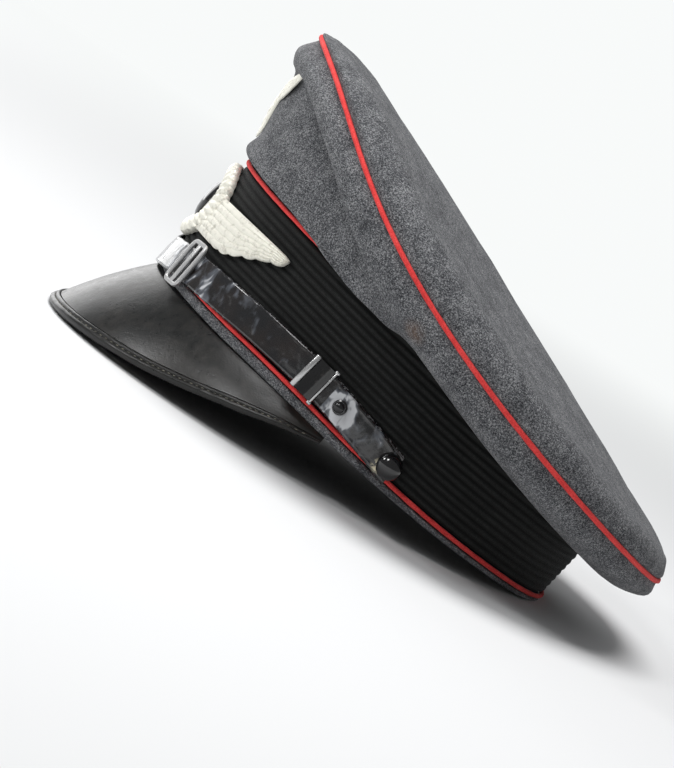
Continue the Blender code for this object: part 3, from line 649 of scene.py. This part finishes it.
def makeCrownSide():
    rows = []
    for index in range(crown["around"] + 1):
        turn = 360.0 * index / crown["around"]
        line, outward = crownSideLine(turn)
        last = len(line) - 1
        away = (outward - upBy(0.4)).normalized()
        wave = noise.noise(Vector((turn * 0.16, 2.0, 0.0))) * min(1.0, foldTurn(turn) / 50.0)
        shaped = []
        for row, point in enumerate(line):
            free = min(1.0, row / 8.0, (last - row) / 9.0)
            hem = max(0.0, 1.0 - abs(row - crown["hemRow"]) / crown["hemReach"]) * crown["hemWaves"]
            shaped.append(softened(point, away, free) - upBy(hem * wave))
        rows.append(thickRow(shaped, outward))
    finishPiece("crownSide", layRows(rows, (0.8, 0.06)), wool, ["crown_side"], 80.0)


def crownTopLine(turn):
    # from the rim's piping over the cheek and the shoulder to the middle of the top
    values = [value * crown["roll"] for value in easeTable(crown["top"], foldTurn(turn))]
    cheekIn, cheekUp, shoulderIn, shoulderUp, flatIn, flatUp = values
    pairs = [(0.0008, 0.0004), (-0.0003, min(0.0026, 0.6 * cheekUp)), (cheekIn, cheekUp),
             (cheekIn * 0.62 + shoulderIn * 0.38, cheekUp * 0.32 + shoulderUp * 0.68),
             (shoulderIn, shoulderUp), (flatIn, flatUp)]
    points = [rimPoint(turn, inward, up) for inward, up in pairs]
    middle = (rimPoint(0.0) + rimPoint(180.0)) / 2 + upBy(crown["dome"])
    between = points[-1].lerp(middle, 0.45) + upBy(0.0004)
    return smoothLine(points + [between, middle], crown["topSteps"])


def makeCrownTop():
    above = upBy(1.0)
    edge = crown["topEdge"]
    rows = []
    for index in range(crown["around"] + 1):
        turn = 360.0 * index / crown["around"]
        line = crownTopLine(turn)
        outward = (rimPoint(turn, -1.0) - rimPoint(turn)).normalized()
        shaped = [softened(point, above, min(1.0, row / 12.0)) for row, point in enumerate(line)]
        under = ([point - outward * crown["cloth"] for point in shaped[:edge]]
                 + [point - above * crown["cloth"] for point in shaped[edge:]])
        rows.append(shaped + under[::-1][::4] + [under[0], shaped[0]])
    finishPiece("crownTop", layRows(rows, (0.8, 0.12)), wool, ["crown_top"], 80.0)


makeCrownSide()
makeCrownTop()
print("crown made")


# Cord pipings

piping = {"crown": 0.00112, "band": 0.00100, "around": 300, "sides": 12, "lumps": 0.00012}


def makePiping(name, node, radius, centre):
    def place(u, v):
        angle = math.tau * v
        turn = 360.0 * u
        out, up = radius * math.cos(angle), radius * math.sin(angle)
        point = centre(turn, out, up)
        core = centre(turn, 0.0, 0.0)
        lump = ripple(core, 0.004, piping["lumps"], 2.0) + ripple(point, 0.0011, 0.00005, 5.0)
        return point + (point - core).normalized() * lump

    bm = wrapSheet(piping["around"], piping["sides"], place, (0.8, 0.009))
    finishPiece(name, bm, felt, [node], 80.0)


weltHeight, gap, cordRadius = cap["weltHeight"], cap["gap"], cap["pipingRadius"]
lowerCord = weltHeight + gap + cordRadius
upperCord = cap["bandHeight"] - cordRadius - 0.5 * gap
makePiping("crownPiping", "crown_piping", piping["crown"],
           lambda turn, out, up: rimPoint(turn, -out, up))
makePiping("bandLowerPiping", "band_lower_piping", piping["band"],
           lambda turn, out, up: bandPoint(turn, 0.0006 + out, lowerCord + up))
makePiping("bandUpperPiping", "band_upper_piping", piping["band"],
           lambda turn, out, up: bandPoint(turn, 0.0004 + out, upperCord + up))
print("pipings made")


# Ribbed band and welt

ribs = {
    "count": 15, "depth": 0.00065, "pointsPerRib": 6, "around": 300, "core": 0.0015, "inset": 0.0006,
    "foot": 0.0014, "proud": 0.0002,
    # the ribs wave between these heights
    "waveFrom": 0.008, "waveTo": 0.054,
}


def bandProfile():
    low = weltHeight + 2 * cordRadius + 2.2 * gap
    high = cap["bandHeight"] - 2 * cordRadius - 2 * gap
    coreOut = -ribs["depth"] - ribs["inset"]
    line = [(coreOut - ribs["core"], ribs["foot"]), (coreOut, ribs["foot"]), (coreOut, low)]
    steps = ribs["count"] * ribs["pointsPerRib"]
    for index in range(steps + 1):
        phase = index / ribs["pointsPerRib"]
        swell = abs(math.sin(math.pi * phase)) ** 0.8
        line.append((ribs["proud"] - ribs["depth"] * (1 - swell), low + (high - low) * index / steps))
    line += [(coreOut, high), (coreOut, cap["bandHeight"] + gap),
             (coreOut - ribs["core"], cap["bandHeight"] + gap)]
    return line + line[:1]


profile = bandProfile()


def bandPlace(u, v):
    out, height = pick(profile, v)
    turn = 360.0 * u
    point = bandPoint(turn, out, height)
    if ribs["waveFrom"] < height < ribs["waveTo"]:
        sway = ripple(point, 0.030, 0.00035, 4.0)
        return bandPoint(turn, out + ripple(point, 0.012, 0.00010, 6.0), height + sway)
    return point


bm = wrapSheet(ribs["around"], len(profile) - 1, bandPlace, (0.604, 1.0))
mapAcross(bm, [(out - ribs["proud"]) / ribs["depth"] + 1.0 for out, height in profile])
finishPiece("ribbedBand", bm, mohair, ["band"], 80.0)

welt = {"face": 0.0009, "inset": 0.0012, "around": 260}
weltIn, weltFace = gap - welt["inset"], welt["face"]
weltLine = [(weltIn, 0.0), (0.0002, 0.0), (0.0006, 0.00025), (weltFace, 0.0012),
            (weltFace + 0.0001, 0.0022), (weltFace, 0.0031), (0.0006, 0.0039), (0.0001, weltHeight),
            (weltIn, weltHeight), (weltIn, 0.0)]


def weltPlace(u, v):
    out, height = pick(weltLine, v)
    turn = 360.0 * u
    point = bandPoint(turn, out, height)
    if out > 0.0:
        point = bandPoint(turn, out + ripple(point, 0.006, 0.00012, 9.0), height)
    return overFloor(point)


bm = wrapSheet(welt["around"], len(weltLine) - 1, weltPlace, (0.60, 0.012))
finishPiece("lowerWelt", bm, wool, ["lower_welt"], 80.0)
print("band made")


# Peak with its bound edge

peak = {
    "end": 84.0, "reach": 0.0240, "drop": 0.0378, "thickness": 0.0022, "camber": 0.0013,
    "bindingWidth": 0.0050, "bindingThickness": 0.0036,
    # the last degrees, over which it thins to this share
    "taper": 16.0, "thinnest": 0.34,
    # reach and drop of the edge, as shares of the peak's
    "edge": ((0.0, 1.00, 1.00), (20.0, 0.925, 0.926), (40.0, 0.68, 0.728), (55.0, 0.47, 0.508),
             (65.0, 0.34, 0.322), (74.0, 0.22, 0.170), (84.0, 0.06, 0.035)),
}


def peakTurn(u):
    return peak["end"] * (2 * u - 1)


def peakEdge(turn):
    reach, drop = easeTable(peak["edge"], abs(turn))
    root = bandPoint(turn, 0.0002, 0.0) + upBy(0.0003)
    normal = bandNormal(turn)
    edge = root + normal * (peak["reach"] * reach) - upBy(peak["drop"] * drop)
    away = (edge - root).normalized()
    upward = Vector((-normal.x * away.z, -normal.y * away.z, math.hypot(away.x, away.y))).normalized()
    thin = peak["thinnest"]
    size = min(1.0, thin + (1 - thin) * (peak["end"] - abs(turn)) / peak["taper"])
    return root, edge, away, upward, size


# share of the way from root to edge, over the peak and back under it
overPeak = (0.0, 0.0, 0.06, 0.14, 0.24, 0.34, 0.45, 0.56, 0.67, 0.78, 0.88, 0.95, 1.0)
underPeak = (1.0, 0.9, 0.75, 0.55, 0.35, 0.15, 0.0)
peakLine = ([(share, False) for share in overPeak] + [(share, True) for share in underPeak]
            + [(0.0, False)])


def peakPlace(u, v):
    turn = peakTurn(u)
    root, edge, away, upward, size = peakEdge(turn)
    share, under = pick(peakLine, v)
    bulge = peak["camber"] * 4 * share * (1 - share) * min(1.0, (edge - root).length / 0.03)
    point = root.lerp(edge, share) + upward * bulge
    waves = ripple(point, 0.030, 0.00050, 1.0) + ripple(point, 0.009, 0.00010, 2.0)
    point += upward * waves * math.sin(math.pi * share)
    if v == 0.0:  # a flange in under the welt
        return root - bandNormal(turn) * 0.0016 + upBy(0.0006)
    if not under:
        return point
    if share == 0.0:
        return root - bandNormal(turn) * 0.0004 - upBy(peak["thickness"] * size)
    return point - upward * peak["thickness"] * size


bm = wrapSheet(140, len(peakLine) - 1, peakPlace, (0.35, 0.09), capEnds=True)
finishPiece("peakBody", bm, peakLeather, ["peak"], 50.0)

# outward and upward places of the binding's section, as shares of its width and half thickness
bindingLine = [(0.0, -0.7), (0.0, 0.62), (0.05, 0.85), (0.16, 1.0), (0.28, 1.0), (0.37, 0.84),
               (0.42, 0.66), (0.47, 0.80), (0.58, 0.98), (0.72, 1.0), (0.86, 0.88), (0.97, 0.50),
               (1.03, 0.0), (0.98, -0.5), (0.86, -0.85), (0.6, -1.0), (0.25, -1.0), (0.06, -0.9),
               (0.0, -0.7)]


def bindingPoint(u, out, up):
    root, edge, away, upward, size = peakEdge(peakTurn(u))
    start = edge - upward * (peak["thickness"] * size / 2) + away * gap
    half = peak["bindingThickness"] / 2
    point = start + (away * (out * peak["bindingWidth"]) + upward * (up * half)) * size
    point += upward * (ripple(point, 0.005, 0.00022, 7.0) + ripple(point, 0.0017, 0.00009, 3.0))
    return overFloor(point)


def bindingPlace(u, v):
    return bindingPoint(u, *pick(bindingLine, v))


bm = wrapSheet(260, len(bindingLine) - 1, bindingPlace, (0.35, 0.017), capEnds=True)
finishPiece("peakBinding", bm, bindingLeather, ["peak_binding"], 60.0)

stitch = {
    "pitch": 0.0026, "length": 0.0016, "width": 0.0006, "height": 0.0006,
    "seam": (0.42, 0.70),  # its place in the binding's section
    "steps": 400, "first": 6,
    "dark": (0.02, 0.02, 0.018), "light": (0.24, 0.22, 0.17),
}


def makeThread():
    material, shader, where = startMaterial("peakThread", {"Roughness": 0.6})
    setColour(shader, rampOf(noiseOf(where, 600.0, 3.0),
                             ((0.35, stitch["dark"]), (0.62, stitch["light"]))))
    setBump(shader, noiseOf(where, 2500.0), 0.0001, 0.5)
    return material


def addStitch(bm, centre, along, upward):
    side = along.cross(upward).normalized()
    shape = Matrix((along * stitch["length"] / 2, side * stitch["width"] / 2,
                    upward * stitch["height"] / 2)).transposed().to_4x4()
    shape.translation = centre
    bmesh.ops.create_icosphere(bm, subdivisions=1, radius=1.0, matrix=shape)


bm = bmesh.new()
steps = stitch["steps"]
spots = [bindingPoint(index / steps, *stitch["seam"]) for index in range(steps + 1)]
walked = 0.0
for index in range(stitch["first"], steps - stitch["first"]):
    walked += (spots[index] - spots[index - 1]).length
    if walked >= stitch["pitch"]:
        walked = 0.0
        upward = peakEdge(peakTurn(index / steps))[3]
        addStitch(bm, spots[index], (spots[index + 1] - spots[index - 1]).normalized(), upward)
finishPiece("peakStitches", bm, makeThread(), [], 80.0)
print("peak made")


# Chin strap

strap = {
    "width": 0.0144, "thickness": 0.0012, "clear": 0.0017, "lean": 0.0005,
    # turn, then the height of its middle
    "heights": ((0.0, 0.0062), (15.0, 0.0086), (27.0, 0.0109), (45.0, 0.0136), (60.0, 0.0149),
                (75.0, 0.0155), (88.0, 0.0137), (101.0, 0.0108)),
    "buttonTurn": 97.9, "studTurn": 82.3, "keeperTurn": 74.5, "buckleTurn": 27.0,
    "mapLength": 0.31, "tabMapLength": 0.06, "tabWidth": 0.94,
}


def strapFace(turn, across, lift):
    height = easeTable(strap["heights"], abs(turn))[0]
    out = strap["clear"] + strap["lean"] * (1 - across) + lift
    return bandPoint(turn, out, height + across * strap["width"] / 2)


def onStrap(turn, lift):
    # a frame on the strap: x along it, y across it upwards, z outward
    along = (strapFace(turn + 0.5, 0.0, lift) - strapFace(turn - 0.5, 0.0, lift)).normalized()
    upward = (strapFace(turn, 1.0, lift) - strapFace(turn, -1.0, lift)).normalized()
    outward = along.cross(upward).normalized()
    place = Matrix((along, outward.cross(along), outward)).transposed().to_4x4()
    place.translation = strapFace(turn, 0.0, lift)
    return place


# a strip's section with softly rolled edges: share of the half width, share of the thickness
stripLine = [(-1.0, 0.25), (-0.97, 0.75), (-0.90, 1.0), (-0.82, 0.94), (-0.6, 1.0), (-0.3, 1.02),
             (0.0, 1.03), (0.3, 1.02), (0.6, 1.0), (0.82, 0.94), (0.90, 1.0), (0.97, 0.75),
             (1.0, 0.25), (0.95, 0.0), (0.0, 0.0), (-0.95, 0.0), (-1.0, 0.25)]


def makeStrip(name, node, material, first, last, lift, width, roundEnd, waves, mapLength):
    def place(u, v):
        turn = first + (last - first) * u
        across, deep = pick(stripLine, v)
        wide = width
        if roundEnd and u > 0.6:
            wide = width * math.sqrt(max(0.10, 1 - ((u - 0.6) / 0.4) ** 2 * roundEnd))
        wave = waves * (0.6 * noise.noise(Vector((turn * 0.42, across * 0.5, 3.0)))
                        + 0.4 * noise.noise(Vector((turn * 1.1, across * 1.3, 9.0))))
        return strapFace(turn, across * wide, lift + deep * strap["thickness"] + wave * min(1.0, deep))

    around = max(24, int(abs(last - first) * 1.6))
    bm = wrapSheet(around, len(stripLine) - 1, place, (mapLength, 1.0), capEnds=True)
    mapAcross(bm, [across * 0.5 + 0.5 for across, deep in stripLine])
    finishPiece(name, bm, material, [node], 60.0)


buckle = {
    "halfLong": 0.0062, "halfHigh": 0.0110, "wall": 0.0020, "depth": 0.0018, "squareness": 7.0,
    "barRadius": 0.0013, "barFlat": 0.55, "barEnd": 0.0102, "barLift": 0.0009,
}


def buckleEdge(share):
    # a place on the buckle's rounded rectangle and its outward direction
    power, wall = buckle["squareness"], buckle["wall"]
    long, high = buckle["halfLong"] - wall / 2, buckle["halfHigh"] - wall / 2
    x, y = math.cos(math.tau * share), math.sin(math.tau * share)
    size = (abs(x) ** power + abs(y) ** power) ** (-1 / power)
    x, y = size * x, size * y
    outward = Vector((math.copysign(abs(x) ** (power - 1), x) / long,
                      math.copysign(abs(y) ** (power - 1), y) / high, 0.0))
    return Vector((x * long, y * high, 0.0)), outward.normalized()


def makeBuckle(matrix):
    wall, depth = buckle["wall"], buckle["depth"]

    def place(u, v):
        middle, outward = buckleEdge(u)
        angle = math.tau * v
        squash = (abs(math.cos(angle)) ** 3 + abs(math.sin(angle)) ** 3) ** (-1 / 3)
        local = middle + outward * (wall / 2 * squash * math.cos(angle))
        local.z = depth / 2 + depth / 2 * squash * math.sin(angle)
        return matrix @ local

    bm = wrapSheet(72, 12, place, (0.05, 0.005))
    end = Vector((0.0, buckle["barEnd"], 0.0))
    lift = upBy(buckle["barLift"])
    addBar(bm, matrix, lift - end, lift + end, buckle["barRadius"], buckle["barFlat"])
    return bm


def addBar(bm, matrix, start, end, radius, flat):
    # a rounded bar between two places of the frame
    axis = end - start
    turned = axis.to_track_quat("Z", "Y").to_matrix().to_4x4()
    middle = Matrix.Translation((start + end) / 2)
    squash = Matrix.Diagonal((1.0, flat, 1.0, 1.0))
    made = bmesh.ops.create_cone(bm, cap_ends=True, segments=12, radius1=radius, radius2=radius,
                                 depth=axis.length, matrix=matrix @ middle @ turned @ squash)
    rims = {edge for vert in made["verts"] for edge in vert.link_edges if len(edge.link_faces) == 2
            and max(len(face.verts) for face in edge.link_faces) > 4}
    bmesh.ops.bevel(bm, geom=list(rims), offset=radius * 0.45, offset_type="OFFSET", segments=2,
                    profile=0.5, affect="EDGES", material=-1)


keeper = {
    # place along the strap, lift, half length, radius and flatness of the front and the rear bar
    "bars": ((-0.0052, 0.0010, 0.0082, 0.0012, 0.75), (0.0048, 0.0008, 0.0084, 0.0005, 1.0)),
    "nubAt": 0.0082, "nubHalf": 0.0010, "nubRadius": 0.0007,
    # section of the leather loop between the bars
    "loop": ((-0.0040, 0.0), (-0.0040, 0.0008), (-0.0034, 0.0013), (0.0, 0.0016), (0.0034, 0.0011),
             (0.0042, 0.0006), (0.0042, 0.0), (-0.0040, 0.0)),
    "loopHalf": 0.0078,
}


def makeKeeper(matrix, sign):
    bm = bmesh.new()
    for along, lift, reach, radius, flat in keeper["bars"]:
        middle, end = Vector((along * sign, 0.0, lift)), Vector((0.0, reach, 0.0))
        addBar(bm, matrix, middle - end, middle + end, radius, flat)
    nub = Vector((keeper["nubHalf"], 0.0, 0.0))
    for across in (-keeper["nubAt"], keeper["nubAt"]):
        end = middle + Vector((0.0, across, 0.0))
        addBar(bm, matrix, end - nub, end + nub, keeper["nubRadius"], 1.0)
    return bm


def makeKeeperLoop(matrix):
    def place(u, v):
        along, lift = pick(keeper["loop"], v)
        return matrix @ Vector((along, (2 * u - 1) * keeper["loopHalf"], lift))

    return wrapSheet(12, len(keeper["loop"]) - 1, place, (0.015, 1.0), capEnds=True)


def spinProfile(matrix, line, steps):
    # a turned solid from (radius, height) places about the frame's z
    bm = bmesh.new()
    verts = [bm.verts.new((radius, 0.0, height)) for radius, height in line]
    edges = [bm.edges.new(pair) for pair in zip(verts, verts[1:])]
    bmesh.ops.spin(bm, geom=verts + edges, cent=(0, 0, 0), axis=(0, 0, 1), angle=math.tau, steps=steps,
                   use_merge=True)
    bmesh.ops.remove_doubles(bm, verts=bm.verts, dist=1e-6)
    bmesh.ops.recalc_face_normals(bm, faces=bm.faces)
    bmesh.ops.transform(bm, matrix=matrix, verts=bm.verts)
    return bm


# balls on a foot: radius, the foot as shares of it with heights, the ball's middle and where it starts
stud = {"radius": 0.0025, "middle": 0.0029, "squash": 0.82, "from": -50.0, "steps": 8,
        "foot": ((0.0, 0.0), (1.25, 0.0), (1.25, 0.0004), (0.75, 0.0009), (0.62, 0.0012))}
button = {"radius": 0.0055, "middle": 0.0018, "squash": 0.80, "from": -18.0, "steps": 12,
          "foot": ((0.0, 0.0), (0.70, 0.0), (0.93, 0.0005))}


def ballLine(ball):
    radius, start, steps = ball["radius"], ball["from"], ball["steps"]
    line = [(radius * share, height) for share, height in ball["foot"]]
    for index in range(steps + 1):
        angle = math.radians(start + (90 - start) * index / steps)
        line.append((radius * math.cos(angle) if index < steps else 0.0,
                     ball["middle"] + radius * ball["squash"] * math.sin(angle)))
    return line


reach = strap["buttonTurn"] + 1.5
makeStrip("chinStrap", "chin_strap", strapLacquer, -reach, reach, 0.0, 1.0, 0.0, 0.00022,
          strap["mapLength"])
tabLift = strap["thickness"] + gap
metalLift = tabLift + 0.0002
knobLift = tabLift + strap["thickness"] + gap
for side, sign in (("left", 1), ("right", -1)):
    label = side.capitalize()
    makeStrip("strapEnd" + label, "strap_end_" + side, tabLacquer, sign * (strap["keeperTurn"] + 4.6),
              sign * (strap["buttonTurn"] + 2.5), tabLift, strap["tabWidth"], 0.75, 0.00030,
              strap["tabMapLength"])
    finishPiece("frontBuckle" + label, makeBuckle(onStrap(sign * strap["buckleTurn"], metalLift)),
                wornMetal, ["front_buckle_" + side], 50.0)
    place = onStrap(sign * strap["keeperTurn"], metalLift)
    finishPiece("keeper" + label, makeKeeper(place, sign), keeperMetal, ["keeper_" + side],
                50.0)
    finishPiece("keeperLoop" + label, makeKeeperLoop(place), buttonBlack, [], 50.0)
    place = onStrap(sign * strap["studTurn"], knobLift)
    finishPiece("strapStud" + label, spinProfile(place, ballLine(stud), 36), studMetal,
                ["strap_stud_" + side], 40.0)
    place = onStrap(sign * strap["buttonTurn"], knobLift)
    finishPiece("sideButton" + label, spinProfile(place, ballLine(button), 48), buttonBlack,
                ["side_button_" + side], 40.0)
print("strap made")


# Badges: plain winged shapes

wing = {
    "turn": 51.5, "root": 0.22, "plate": 0.0012, "clear": 0.0016, "rootLift": 0.0010, "relief": 0.00042,
    "grooves": 6.0, "slants": 24.0, "scallops": 13.0, "scallopDepth": 0.0011, "scallopFrom": 0.50,
    # share of the turn, then the height of the edge
    "low": ((0.22, 0.0228), (0.44, 0.0232), (0.57, 0.0238), (0.67, 0.0253), (0.72, 0.0274),
            (0.76, 0.0294), (0.83, 0.0323), (0.88, 0.0350), (0.92, 0.0366), (0.985, 0.0392),
            (1.0, 0.0422)),
    "high": ((0.22, 0.0398), (0.44, 0.0411), (0.61, 0.0420), (0.76, 0.0427), (0.96, 0.0434),
             (1.0, 0.0428)),
}


def closePlate(bm, depth):
    # turns a sheet into a plate: its rim goes back towards the cap, and a back closes it
    rim = [edge for edge in bm.edges if edge.is_boundary]
    made = bmesh.ops.extrude_edge_only(bm, edges=rim)
    for item in made["geom"]:
        if isinstance(item, bmesh.types.BMVert):
            turn = math.degrees(math.atan2(item.co.x / cap["bandWidth"], -item.co.y / cap["bandLength"]))
            item.co -= bandNormal(turn) * depth
    rim = [edge for edge in bm.edges if edge.is_boundary]
    bmesh.ops.holes_fill(bm, edges=rim, sides=0)
    bmesh.ops.recalc_face_normals(bm, faces=bm.faces)


def makeWing(name, node, sign):
    root, plate = wing["root"], wing["plate"]

    def place(u, v):
        share = root + (1 - root) * u
        low, high = easeTable(wing["low"], share)[0], easeTable(wing["high"], share)[0]
        scallop = abs(math.sin(math.pi * share * wing["scallops"])) ** 0.6 - 0.6
        fade = min(1.0, 8 * max(0.0, share - wing["scallopFrom"]), (1.0 - share) * 12)
        low -= wing["scallopDepth"] * scallop * fade
        bulge = math.sin(math.pi * min(1.0, max(0.0, v))) ** 0.5
        groove = abs(math.sin(math.pi * (1 - v) * wing["grooves"])) ** 0.5
        slant = abs(math.sin(math.pi * (share * wing["slants"] - v * 2.0))) ** 0.5
        relief = wing["relief"] * (groove + 0.35 * slant) * min(1.0, 8 * v * (1 - v))
        out = wing["clear"] + wing["rootLift"] * (1 - share) + plate * (0.45 + 0.55 * bulge) + relief
        return bandPoint(sign * share * wing["turn"], out, low + (high - low) * v)

    bm = wrapSheet(120, 36, place, (0.08, 0.02), weld=False)
    closePlate(bm, plate * 0.45)
    finishPiece(name, bm, badgeSilver, [node], 35.0)


makeWing("badgeWingLeft", "lower_badge_wing_left", 1)
makeWing("badgeWingRight", "lower_badge_wing_right", -1)

ring = {"height": 0.0340, "halfWide": 0.0280, "halfHigh": 0.0186, "clear": 0.0008, "twists": 30,
        "twistHeight": 0.0011, "twistWidth": 0.035}
# share of the radius and lift over the band
ringLine = [(0.0, 0.0012), (0.3, 0.0013), (0.55, 0.0013), (0.58, 0.0019), (0.62, 0.0027), (0.66, 0.0033),
            (0.72, 0.0038), (0.80, 0.0041), (0.88, 0.0039), (0.94, 0.0034), (0.98, 0.0026),
            (1.0, 0.0012), (0.985, 0.0), (0.5, 0.0), (0.0, 0.0)]
# radius and height
bossLine = [(0.0, 0.0), (0.0100, 0.0), (0.0101, 0.0005), (0.0097, 0.0010), (0.0085, 0.0018),
            (0.0064, 0.0025), (0.0036, 0.0029), (0.0, 0.0030)]
bossClear = 0.0024


def ringPlace(u, v):
    angle = math.tau * u
    share, raised = pick(ringLine, v)
    twist = abs(math.sin(ring["twists"] / 2 * angle + share * 5.0)) ** 0.7
    if share > 0.6 and raised > 0.0015:
        raised += ring["twistHeight"] * (twist - 0.5)
    if share > 0.9:
        share += ring["twistWidth"] * (twist - 0.5)
    across = ring["halfWide"] * share * math.sin(angle)
    level = ring["height"] + ring["halfHigh"] * share * math.cos(angle)
    turn = math.degrees(math.asin(across / (cap["bandWidth"] / 2)))
    return bandPoint(turn, ring["clear"] + raised, level)


bm = wrapSheet(240, len(ringLine) - 1, ringPlace, (0.1, 0.02))
finishPiece("badgeRing", bm, badgeSilver, ["lower_badge"], 35.0)

place = Matrix(((1, 0, 0), (0, 0, -1), (0, 1, 0))).to_4x4()
place.translation = bandPoint(0.0, bossClear, ring["height"])
finishPiece("badgeBoss", spinProfile(place, bossLine, 48), studMetal, ["badge_boss"], 40.0)


# Upper badge: spread wings over a slim shield

crest = {
    "halfWide": 0.0276, "curve": 6.5, "plate": 0.0012, "clear": 0.0002, "back": 0.0005,
    "grooves": 5.0, "relief": 0.00028, "spine": 0.0007, "spineShare": 0.16, "tipThinning": 0.7,
    # share of the half width, then the lower and the upper edge's height in the cap's frame
    "rows": ((0.0, 0.0660, 0.0905), (0.14, 0.0712, 0.0915), (0.27, 0.0830, 0.0930),
             (0.49, 0.0864, 0.0957), (0.76, 0.0922, 0.0990), (0.94, 0.0984, 0.1006),
             (1.0, 0.1009, 0.1012)),
}
crownFront, crownOutward = crownSideLine(0.0)
crownFront = crownFront[:5 * crown["steps"] - 2]  # up to just under the notch


def frontFace(height, out):
    # a place on the crown's front middle at a height of the cap's frame, and so far in front of it
    for low, high in zip(crownFront, crownFront[1:]):
        if low.z <= height < high.z:
            return low.lerp(high, (height - low.z) / (high.z - low.z)) + crownOutward * out
    last, before = crownFront[-1], crownFront[-6]
    return last + (last - before) * ((height - last.z) / (last.z - before.z)) + crownOutward * out


def crestPlace(u, v):
    share = abs(2 * u - 1)
    low, high = easeTable(crest["rows"], share)
    bulge = math.sin(math.pi * min(1.0, max(0.0, v))) ** 0.5
    groove = abs(math.sin(math.pi * (1 - v) * crest["grooves"])) ** 0.5
    spine = max(0.0, 1 - share / crest["spineShare"])
    plate = crest["plate"] * (0.4 + 0.6 * bulge) * (1 - crest["tipThinning"] * share ** 3)
    relief = (crest["relief"] * groove + crest["spine"] * spine) * bulge
    point = frontFace(low + (high - low) * v, crest["clear"] + plate + relief)
    across = (2 * u - 1) * crest["halfWide"]
    return Vector((across, point.y + across ** 2 * crest["curve"], point.z))


bm = wrapSheet(120, 30, crestPlace, (0.08, 0.03), weld=False)
closePlate(bm, crest["back"])
finishPiece("upperBadge", bm, badgeSilver, ["upper_badge"], 35.0)
print("badges made")


# Floor, light and camera

studio = {
    "floor": (0.74, 0.745, 0.75), "floorSize": 40.0, "glow": (0.940, 0.957, 0.953),
    # the floor starts to glow at the first distance and is all glow at the second
    "fade": (0.30, 1.60), "sky": (0.985, 0.992, 1.0), "skyStrength": 0.27,
    "lens": 143.75, "distance": 1.30, "turn": 3.0, "lift": 6.5, "roll": 42.05,
    "aim": (0.0, -0.01737, 0.01068),
    # lamp name, place as right, up and back of the camera's view in metres, size, power
    "lamps": (("keyLight", (0.52, 1.14, 0.25), 0.80, 15.0),
              ("cameraFill", (-0.11, 0.94, 0.84), 0.30, 3.2),
              ("frontLight", (-0.62, 1.05, 0.38), 0.26, 3.4),
              ("farLight", (-0.42, 0.86, -1.05), 1.10, 7.0)),
}

bm = bmesh.new()
bmesh.ops.create_grid(bm, x_segments=2, y_segments=2, size=studio["floorSize"])
floorMesh = bpy.data.meshes.new("floor")
bm.to_mesh(floorMesh)
bm.free()
floor = bpy.data.objects.new("floor", floorMesh)
bpy.context.collection.objects.link(floor)
floorMaterial, shader, where = startMaterial("paleFloor", {
    "Roughness": 1.0, "Specular IOR Level": 0.0, "Emission Color": (*studio["glow"], 1.0)})
away = addNode(where.id_data, "VectorMath", {0: where}, operation="LENGTH").outputs["Value"]
glow = mapOf(away, *studio["fade"], 0.0, 1.0, "SMOOTHSTEP")
feed(shader, "Emission Strength", glow)
setColour(shader, blendOf(glow, studio["floor"], (0.0, 0.0, 0.0)))
floorMesh.materials.append(floorMaterial)

world = bpy.data.worlds.new("paleRoom")
world.use_nodes = True
tree = world.node_tree
soft = tree.nodes["Background"]
soft.inputs[0].default_value = (*studio["sky"], 1.0)
soft.inputs[1].default_value = studio["skyStrength"]
plain = addNode(tree, "Background", {0: (*studio["glow"], 1.0), 1: 1.0})
seen = addNode(tree, "LightPath").outputs["Is Camera Ray"]
both = addNode(tree, "MixShader", {0: seen, 1: soft.outputs[0], 2: plain.outputs[0]})
tree.links.new(both.outputs[0], tree.nodes["World Output"].inputs[0])
bpy.context.scene.world = world
bpy.context.scene.view_settings.view_transform = "Standard"
bpy.context.scene.view_settings.look = "None"

aim = rest @ Vector(studio["aim"])
turn, lift, roll = (math.radians(studio[key]) for key in ("turn", "lift", "roll"))
back = Vector((math.cos(turn) * math.cos(lift), -math.sin(turn) * math.cos(lift), math.sin(lift)))
flat = Vector((math.sin(turn), math.cos(turn), 0.0))
upright = back.cross(flat)
right = flat * math.cos(roll) + upright * math.sin(roll)
upward = upright * math.cos(roll) - flat * math.sin(roll)
turned = Matrix((right, upward, back)).transposed()
camera = bpy.data.objects.new("camera", bpy.data.cameras.new("camera"))
camera.data.lens = studio["lens"]
camera.data.sensor_width = 36.0
camera.rotation_mode = "QUATERNION"
camera.rotation_quaternion = (rest.to_3x3() @ turned).to_quaternion()
camera.location = aim + rest.to_3x3() @ back * studio["distance"]
camera.data.clip_start, camera.data.clip_end = 0.05, 50.0
bpy.context.collection.objects.link(camera)
bpy.context.scene.camera = camera

for name, (toRight, toTop, toBack), size, power in studio["lamps"]:
    lamp = bpy.data.objects.new(name, bpy.data.lights.new(name, "AREA"))
    lamp.data.shape = "DISK"
    lamp.data.size = size
    lamp.data.energy = power
    lamp.location = aim + rest.to_3x3() @ (right * toRight + upward * toTop + back * toBack)
    lamp.rotation_mode = "QUATERNION"
    lamp.rotation_quaternion = (lamp.location - aim).to_track_quat("Z", "Y")
    bpy.context.collection.objects.link(lamp)
print("studio made")
